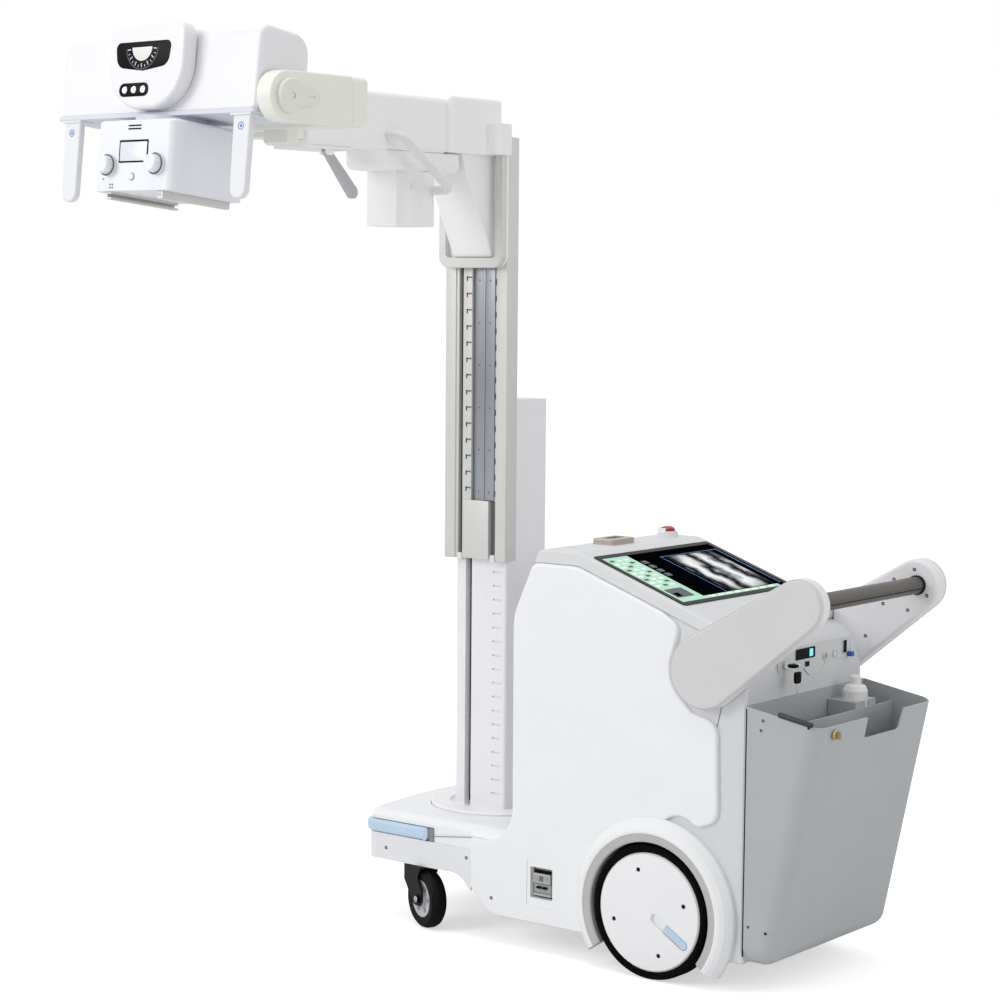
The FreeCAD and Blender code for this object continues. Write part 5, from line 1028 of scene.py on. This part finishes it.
@dataclass
class RearPanel:
    """Display, sockets, plug and key heads of the rear panel."""

    face: float = 250.0
    key_y: float = -104.0
    key_z: Pair = (756, 764)
    eye_z: float = 738.4
    spare_x: Pair = (282.0, 288.0)

    def build(self) -> None:
        """Dress the panel from left to right, then the keys."""
        x = self.face
        for name, outline, back, front, finish in (
                ("display_window", rect(-56, 32, 764, 790, 3), -0.6, 0.4, BLACK_GLOSS_AND_SHADE),
                ("display_digit", rect(6, 22, 768, 786, 2), 0, 0.6, DISPLAY_CYAN),
                ("panel_switch_cap", rect(-13, 5, 745, 757, 1.5), -0.6, 1.2, BLACK_GLOSS_AND_SHADE)):
            piece = plate(name, Plane.YZ, rounded(outline), x + back, x + front)
            dress(piece, finish)
        for name, y, front, radius, finish in (
                ("round_socket_core", 80, 1.6, 5.2, BRASS),
                ("white_socket_core", 126, 1.2, 5.6, BOTTLE_WHITE)):
            core = bar(name, (x - 1.5, y, 761), (x + front, y, 761), radius)
            dress(core, finish)
        port = rounded(rect(163, 179, 759, 789, 2))
        dress(plate("data_port_face", Plane.YZ, port, x, x + 1.3), BLACK_GLOSS_AND_SHADE)
        plug = block("data_plug", (x, 183, 748), (x + 13, 197, 760), 2)
        dress(plug, PORT_BLUE)
        self.keys()

    def keys(self) -> None:
        """Black covers of the key in the lock and of the spare on its ring."""
        y, eye = self.key_y, self.eye_z
        bow = plate("key_head_cover", Plane.XY,
                    rounded([(263, y - 11, 5), (284, y - 14, 9), (284, y + 14, 9),
                             (263, y + 11, 5)]), *self.key_z, 1)
        hole = bar("key_hole", (277, y, 750), (277, y, 770), 4.6, 0)
        dress(carve(bow, hole), BLACK_GLOSS_AND_SHADE, "ignition_key")
        spare = plate("spare_key_head", Plane.YZ,
                      rounded([(y - 13.5, eye + 8.5, 6), (y + 13.5, eye + 8.5, 6),
                               (y + 12.5, eye - 19, 7), (y - 12.5, eye - 19, 7)]),
                      *self.spare_x, 1)
        hole = bar("spare_hole", (276.0, y, eye), (294.0, y, eye), 3.0, 0)
        dress(carve(spare, hole), BLACK_GLOSS_AND_SHADE, "ignition_key")


@dataclass
class Handle:
    """Bar ends, the seam along the bar and the screws of the far arm."""

    bar_at: Pair = (401.0, 929.0)
    bar_r: float = 21.0
    arm_in: float = 250.0
    seam_turn: float = math.radians(-17)
    seam_gap: float = 8.0
    far_screws: tuple[Pair, ...] = ((393, 966), (338, 938), (428, 905), (309, 876), (377, 866),
                                    (262, 792))

    def build(self) -> None:
        """Dark end rings, a shallow seam and the screws."""
        (x, z), r = self.bar_at, self.bar_r
        ring = [(r + 0.2, 0), (r + 3, 0), (r + 3, 5), (r + 1.4, 6.4), (r + 0.2, 6.4)]
        for side, sign in SIDES:
            collar = lathe(f"bar_end_ring_{side}", ring, (x, sign * (self.arm_in - 1), z),
                           (0, -sign, 0))
            dress(collar, BLACK_COAT_AND_SHADE)
        sx, sz = x + math.cos(self.seam_turn) * r, z + math.sin(self.seam_turn) * r
        end = self.arm_in - self.seam_gap
        dress(bar("bar_seam", (sx, -end, sz), (sx, end, sz), 1.3, 0, 12), BLACK_COAT_AND_SHADE)
        for i, (sx, sz) in enumerate(self.far_screws):
            cap_screw(f"far_arm_screw_{i}", (sx, self.arm_in - 0.2, sz), (0, -1, 0), 5.0)


@dataclass
class Bin:
    """Rim bar, studs, painted shade in the edge gap, and screws of the storage bin."""

    side_y: float = 272.0
    rim_near: Pair = (246.0, 684.0)
    rim_far: Pair = (445.0, 650.0)
    bar_x: Pair = (336, 428)
    bar_y: float = -270.0
    stud_x: Pair = (346, 416)
    stud_y: float = -268.0
    gap: tuple[Corner, Corner] = ((252.5, -271.6, 678), (251.5, -271.6, 96))
    screws: tuple[Pair, ...] = ((297, 655), (292, 632), (266, 169), (313, 161))

    def rim_z(self, x: float) -> float:
        """Height of the sloping rim at x."""
        (x0, z0), (x1, z1) = self.rim_near, self.rim_far
        return z0 + (z1 - z0) * (x - x0) / (x1 - x0)

    def build(self) -> None:
        """Dark bar on the near rim, its studs, a black line painted as the shade in the edge gap,
        and the screws.
        """
        start, end = ((x, self.bar_y, self.rim_z(x) + 5) for x in self.bar_x)
        dress(bar("bin_rim_bar", start, end, 6.5, 5), GRIP_BLACK)
        # Black line painted as the shade in the gap along the bin's edge.
        dress(bar("bin_edge_gap_shade", *self.gap, 1.7, 0, 8), BLACK_COAT_AND_SHADE)
        for i, x in enumerate(self.stud_x):
            rim = self.rim_z(x)
            stud = bar(f"bin_rim_stud_{i}", (x, self.stud_y, rim - 6), (x, self.stud_y, rim + 6),
                       3.5)
            dress(stud, BLACK_COAT_AND_SHADE)
        for i, (x, z) in enumerate(self.screws):
            cap_screw(f"bin_screw_{i}", (x, -self.side_y, z), (0, -1, 0), 4.5)


@dataclass
class ColumnStage:
    """Upper stage of the column: an extrusion with a ladder strip and two bolted rails."""

    low: float = 940.0
    top: float = 2013.0
    half: float = 99.5
    front: float = -112.0
    floor: float = -96.0
    back: float = -66.0
    mast_half: float = 83.2
    mast_front: float = -84.6
    cover_top: float = 1092.0
    pitch: float = 41.4
    bolt_pitch: float = 108.0
    bolts: int = 8
    mast_span: Pair = (299, 1340)

    def box(self, name: str, x: Pair, y: Pair, z: Pair, edge: float = 0) -> Piece:
        """Box whose x counts from the column's middle.

        Args:
            name: Name of the piece.
            x: Left and right side.
            y: Front and back.
            z: Foot and top.
            edge: Radius of its edges.

        Returns:
            The box.
        """
        return block(name, (COLUMN_X + x[0], y[0], z[0]), (COLUMN_X + x[1], y[1], z[1]), edge)

    def row(self, name: str, piece: Piece, step: float, count: int, finish: Finish) -> None:
        """Repeat a piece up the stage and dress the row.

        Args:
            name: Name of the row.
            piece: Lowest piece.
            step: Distance between two pieces.
            count: Number of pieces.
            finish: Their finish.
        """
        pick(piece)
        piece.name = piece.data.name = name
        array = piece.modifiers.new("row", "ARRAY")
        array.use_relative_offset = False
        array.use_constant_offset = True
        array.constant_offset_displace = (0, 0, step * MM)
        array.count = count
        bpy.ops.object.modifier_apply(modifier=array.name)
        dress(piece, finish, "upper_stage")

    def build(self) -> None:
        """Extrusion, strips, rows, cover plate, end plugs, painted shade on the floor of the mast's
        groove, and the mast's belt.
        """
        self.extrusion()
        self.strips()
        self.rows()
        cover = rect(COLUMN_X - 40, COLUMN_X + 44, self.low + 2, self.cover_top, 4)
        dress(plate("stage_low_cover", Plane.XZ, rounded(cover), -111.6, self.floor + 1, 1.2),
              COLUMN_GREY, "upper_stage")
        for name, x in (("left", (-59, -45)), ("right", (48, 62))):
            plug = self.box(f"stage_end_plug_{name}", x, (-110, self.floor),
                            (self.low - 4, self.low + 14), 1.5)
            dress(plug, BOTTLE_WHITE, "upper_stage")
        # Black strip painted as the shade on the floor of the mast's deep groove.
        groove = self.box("mast_groove_painted_shade", (-49.6, -30.4), (-64, -62.2), self.mast_span)
        dress(groove, BLACK_COAT_AND_SHADE, "column")
        belt = self.box("mast_belt", (-42, -37), (-68, -63.5), self.mast_span, 0.5)
        dress(belt, COLUMN_GREY, "column")

    def extrusion(self) -> None:
        """Channel that stands for the solids' channel and rails in the picture."""
        h, f, m = self.half, self.front, self.mast_half
        section = [(-h, f), (-66, f), (-66, f + 4), (-58, f + 4), (-58, self.floor),
                   (66, self.floor), (66, f), (h, f), (h, self.back), (m, self.back),
                   (m, self.mast_front), (-m, self.mast_front), (-m, self.back), (-h, self.back)]
        points = [(COLUMN_X + x, y) for x, y in section]
        shell = plate("stage_extrusion", Plane.XY, points, self.low, self.top, 1.6)
        dress(shell, COLUMN_GREY, "upper_stage")
        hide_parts("stage_channel", "stage_rails")

    def strips(self) -> None:
        """Upright strips in the channel, from its floor forwards."""
        low, high, over = self.low + 2, self.top - 6, self.cover_top + 2
        for name, x, y, z, finish, edge in (
                ("groove_shadow", (-57.8, -46.5), self.floor - 0.6, (low - 1, high), BLACK_COAT_AND_SHADE, 0),
                ("ladder_strip", (-46, -17), -106.6, (low, high), COLUMN_GREY, 0.8),
                ("rail_left", (-15.4, 25.6), -99.4, (over, high), RAIL_METAL, 0.8),
                ("rail_mid", (16.5, 25.6), -106.4, (over, high), RAIL_METAL, 0.5),
                ("rail_right", (27, 57), -106.6, (over, high), RAIL_METAL, 0.8),
                ("tick_strip", (57.4, 65.6), -104, (self.cover_top, high), COLUMN_GREY, 0.5),
                ("cover_gap", (45, 65.6), -97.5, (low, self.cover_top), SEAM_DARK, 0),
                ("ladder_edge", (-16.9, -15.6), -99.0, (low, high), SEAM_DARK, 0)):
            strip = self.box(f"stage_{name}", x, (y, self.floor + 0.4), z, edge)
            dress(strip, finish, "upper_stage")

    def rows(self) -> None:
        """Ticks, ladder slots with the painted shadows of their punched tabs, and the rails' bolts.
        """
        count = int((self.top - self.cover_top - 40) / self.pitch)
        foot = self.cover_top
        for name, x, y, z, finish, edge in (
                ("tick_row", (58.4, 64.6), (-104.5, self.floor), (12, 27), BLACK_COAT_AND_SHADE, 0.3),
                ("ladder_slots", (-33, -17.6), (-106.9, -104), (29.5, 33.4), SEAM_DARK, 0),
                # Black marks painted as the shadows that the ladder's punched tabs cast.
                ("ladder_tab_shadows", (-35, -31.6), (-107.0, -104), (22, 34), BLACK_COAT_AND_SHADE, 0)):
            piece = self.box("rung", x, y, (foot + z[0], foot + z[1]), edge)
            self.row(f"stage_{name}", piece, self.pitch, count, finish)
        level = foot + 22
        for name, x, y in (("left", 2, -99.4), ("right", 42, -106.6)):
            bolt = bar("bolt", (COLUMN_X + x, y + 0.5, level), (COLUMN_X + x, y - 0.4, level),
                       2.6, 0.3, 16)
            self.row(f"stage_rail_bolts_{name}", bolt, self.bolt_pitch, self.bolts, SEAM_DARK)


@dataclass
class TubeHead:
    """Dial, button plate and paddle rings of the tube head, in its own level frame."""

    dial_front: float = -83.4
    window: tuple[Corner, ...] = ((-95.7, 117.7, 13.7), (-87.7, 64.2, 25.7), (-8, 54.3, 59.7),
                                  (69.7, 64.2, 25.7), (77.7, 117.7, 13.7))
    hub: Pair = (-13.0, 107.0)
    ticks: int = 13
    first_tick: float = -172.0
    tick_step: float = 13.7
    tick_out: float = 45.0
    pill_floor: float = -82.0
    paddle: Corner = (262, -46.5, -68)

    def put(self, piece: Piece, finish: Finish) -> None:
        """Tilt a piece with the head and dress it."""
        dress(settle(piece, tilted()), finish, "tube_head")

    def build(self) -> None:
        """Dress the pod and the paddles."""
        self.dial()
        pill = rounded(rect(-77.6, 13.6, -0.6, 28.6, 14.5), 12)
        self.put(plate("pill_plate", Plane.XZ, pill, self.pill_floor - 1.4,
                       self.pill_floor + 0.4, 0.3), BLACK_GLOSS_AND_SHADE)
        ring = [(6.5, -0.3), (6.5, 0.5), (8.4, 0.5), (8.4, -0.3)]
        pin = [(0, -0.5), (0, 0.8), (3, 0.8), (3.4, 0.4), (3.4, -0.5)]
        x, y, z = self.paddle
        for side, at in (("left", (-x, y, z)), ("right", (x, y, z))):
            self.put(lathe(f"paddle_ring_{side}", ring, at, (0, -1, 0), 32), INK_BLUE)
            self.put(lathe(f"paddle_pin_{side}", pin, at, (0, -1, 0), 24), INK_BLUE)

    def dial(self) -> None:
        """Black window with a white half disc, a blue ring and pale ticks."""
        front = self.dial_front
        self.put(plate("dial_window", Plane.XZ, rounded(list(self.window), 12), front,
                       front + 2.9, 0.4), BLACK_GLOSS_AND_SHADE)
        disc = arc(self.hub, 31, -178, -2, 24)
        self.put(plate("dial_half_disc", Plane.XZ, disc, front - 0.9, front + 0.2, 0.3),
                 BOTTLE_WHITE)
        ring = arc(self.hub, 50, -176, -4, 28) + arc(self.hub, 47.5, -4, -176, 28)
        self.put(plate("dial_ring", Plane.XZ, ring, front - 0.5, front + 0.2), DIAL_BLUE)
        for i in range(self.ticks):
            angle = math.radians(self.first_tick + i * self.tick_step)
            length, radius = (5, 0.9) if i % 2 else (9, 1.3)
            inner, outer = ((self.hub[0] + r * math.cos(angle), front - 0.2,
                             self.hub[1] + r * math.sin(angle))
                            for r in (self.tick_out - length, self.tick_out))
            self.put(bar(f"dial_tick_{i}", inner, outer, radius, 0, 8), LCD_PANE)


@dataclass
class Collimator:
    """Display, painted shadow rings round the knobs, painted shade in the slots, dots and button
    ring of the collimator.
    """

    face: float = -103.0
    knob: Pair = (74, -152)
    slot_at: Pair = (-19.5, -76.2)
    slot_step: Pair = (20.5, 7)
    dot_at: Pair = (-66, -194)
    dot_step: Pair = (7, -7)
    pin_at: Pair = (-88, -182)
    button_z: float = -178.0

    def put(self, piece: Piece, finish: Finish) -> None:
        """Tilt a piece with the head and dress it on the collimator's body."""
        dress(settle(piece, tilted()), finish, "collimator_box")

    def build(self) -> None:
        """Dress the front face."""
        y = self.face
        lcd = rounded(rect(-43.5, 45.5, -147.5, -98.5, 2.5))
        self.put(plate("lcd_frame", Plane.XZ, lcd, y - 0.9, y + 0.6, 0.3), BLACK_GLOSS_AND_SHADE)
        pane = rounded(rect(-40, 42, -144, -103, 1.2))
        self.put(plate("lcd_pane", Plane.XZ, pane, y - 1.3, y + 0.2, 0.2), LCD_PANE)
        ring = [(20.6, 6), (23.6, 6), (23.6, 7.2), (20.6, 7.2)]
        x, z = self.knob
        for side, at in (("left", (-x, y, z)), ("right", (x, y, z))):
            self.put(lathe(f"knob_shadow_ring_{side}", ring, at, (0, -1, 0)), SEAM_DARK)
        # Black blocks painted as the shade inside the face's slots.
        for i in range(4):
            row, column = divmod(i, 2)
            x, z = self.slot_at[0] + column * self.slot_step[0], (self.slot_at[1]
                                                                  + row * self.slot_step[1])
            self.put(block(f"face_slot_shade_{i}", (x, y - 0.4, z), (x + 19, y + 0.6, z + 3.4), 0),
                     BLACK_COAT_AND_SHADE)
        for i in range(4):
            row, column = divmod(i, 2)
            x, z = self.dot_at[0] + column * self.dot_step[0], (self.dot_at[1]
                                                                + row * self.dot_step[1])
            self.put(bar(f"face_dot_{i}", (x, y - 0.4, z), (x, y + 0.5, z), 1.9, 0, 12),
                     BLACK_GLOSS_AND_SHADE)
        x, z = self.pin_at
        self.put(bar("face_pin", (x, y - 0.6, z), (x, y + 0.5, z), 1.6, 0, 12), BLACK_GLOSS_AND_SHADE)
        ring = [(7.3, 0), (7.3, 0.7), (8.4, 0.7), (8.4, 0)]
        self.put(lathe("lamp_button_ring", ring, (0, y, self.button_z), (0, -1, 0)), SEAM_DARK)


def main() -> None:
    """Build the scene in order and report each piece."""
    logging.basicConfig(level=logging.INFO, format="%(message)s")
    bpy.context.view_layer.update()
    Studio().build()
    finish_nodes()
    for side in ("near", "far"):
        DriveWheel(side).build()
    for part in (Cabinet(), TouchScreen(), RearPanel(), Handle(), Bin(), ColumnStage(),
                 TubeHead(), Collimator()):
        part.build()


if __name__ == "__main__":
    main()
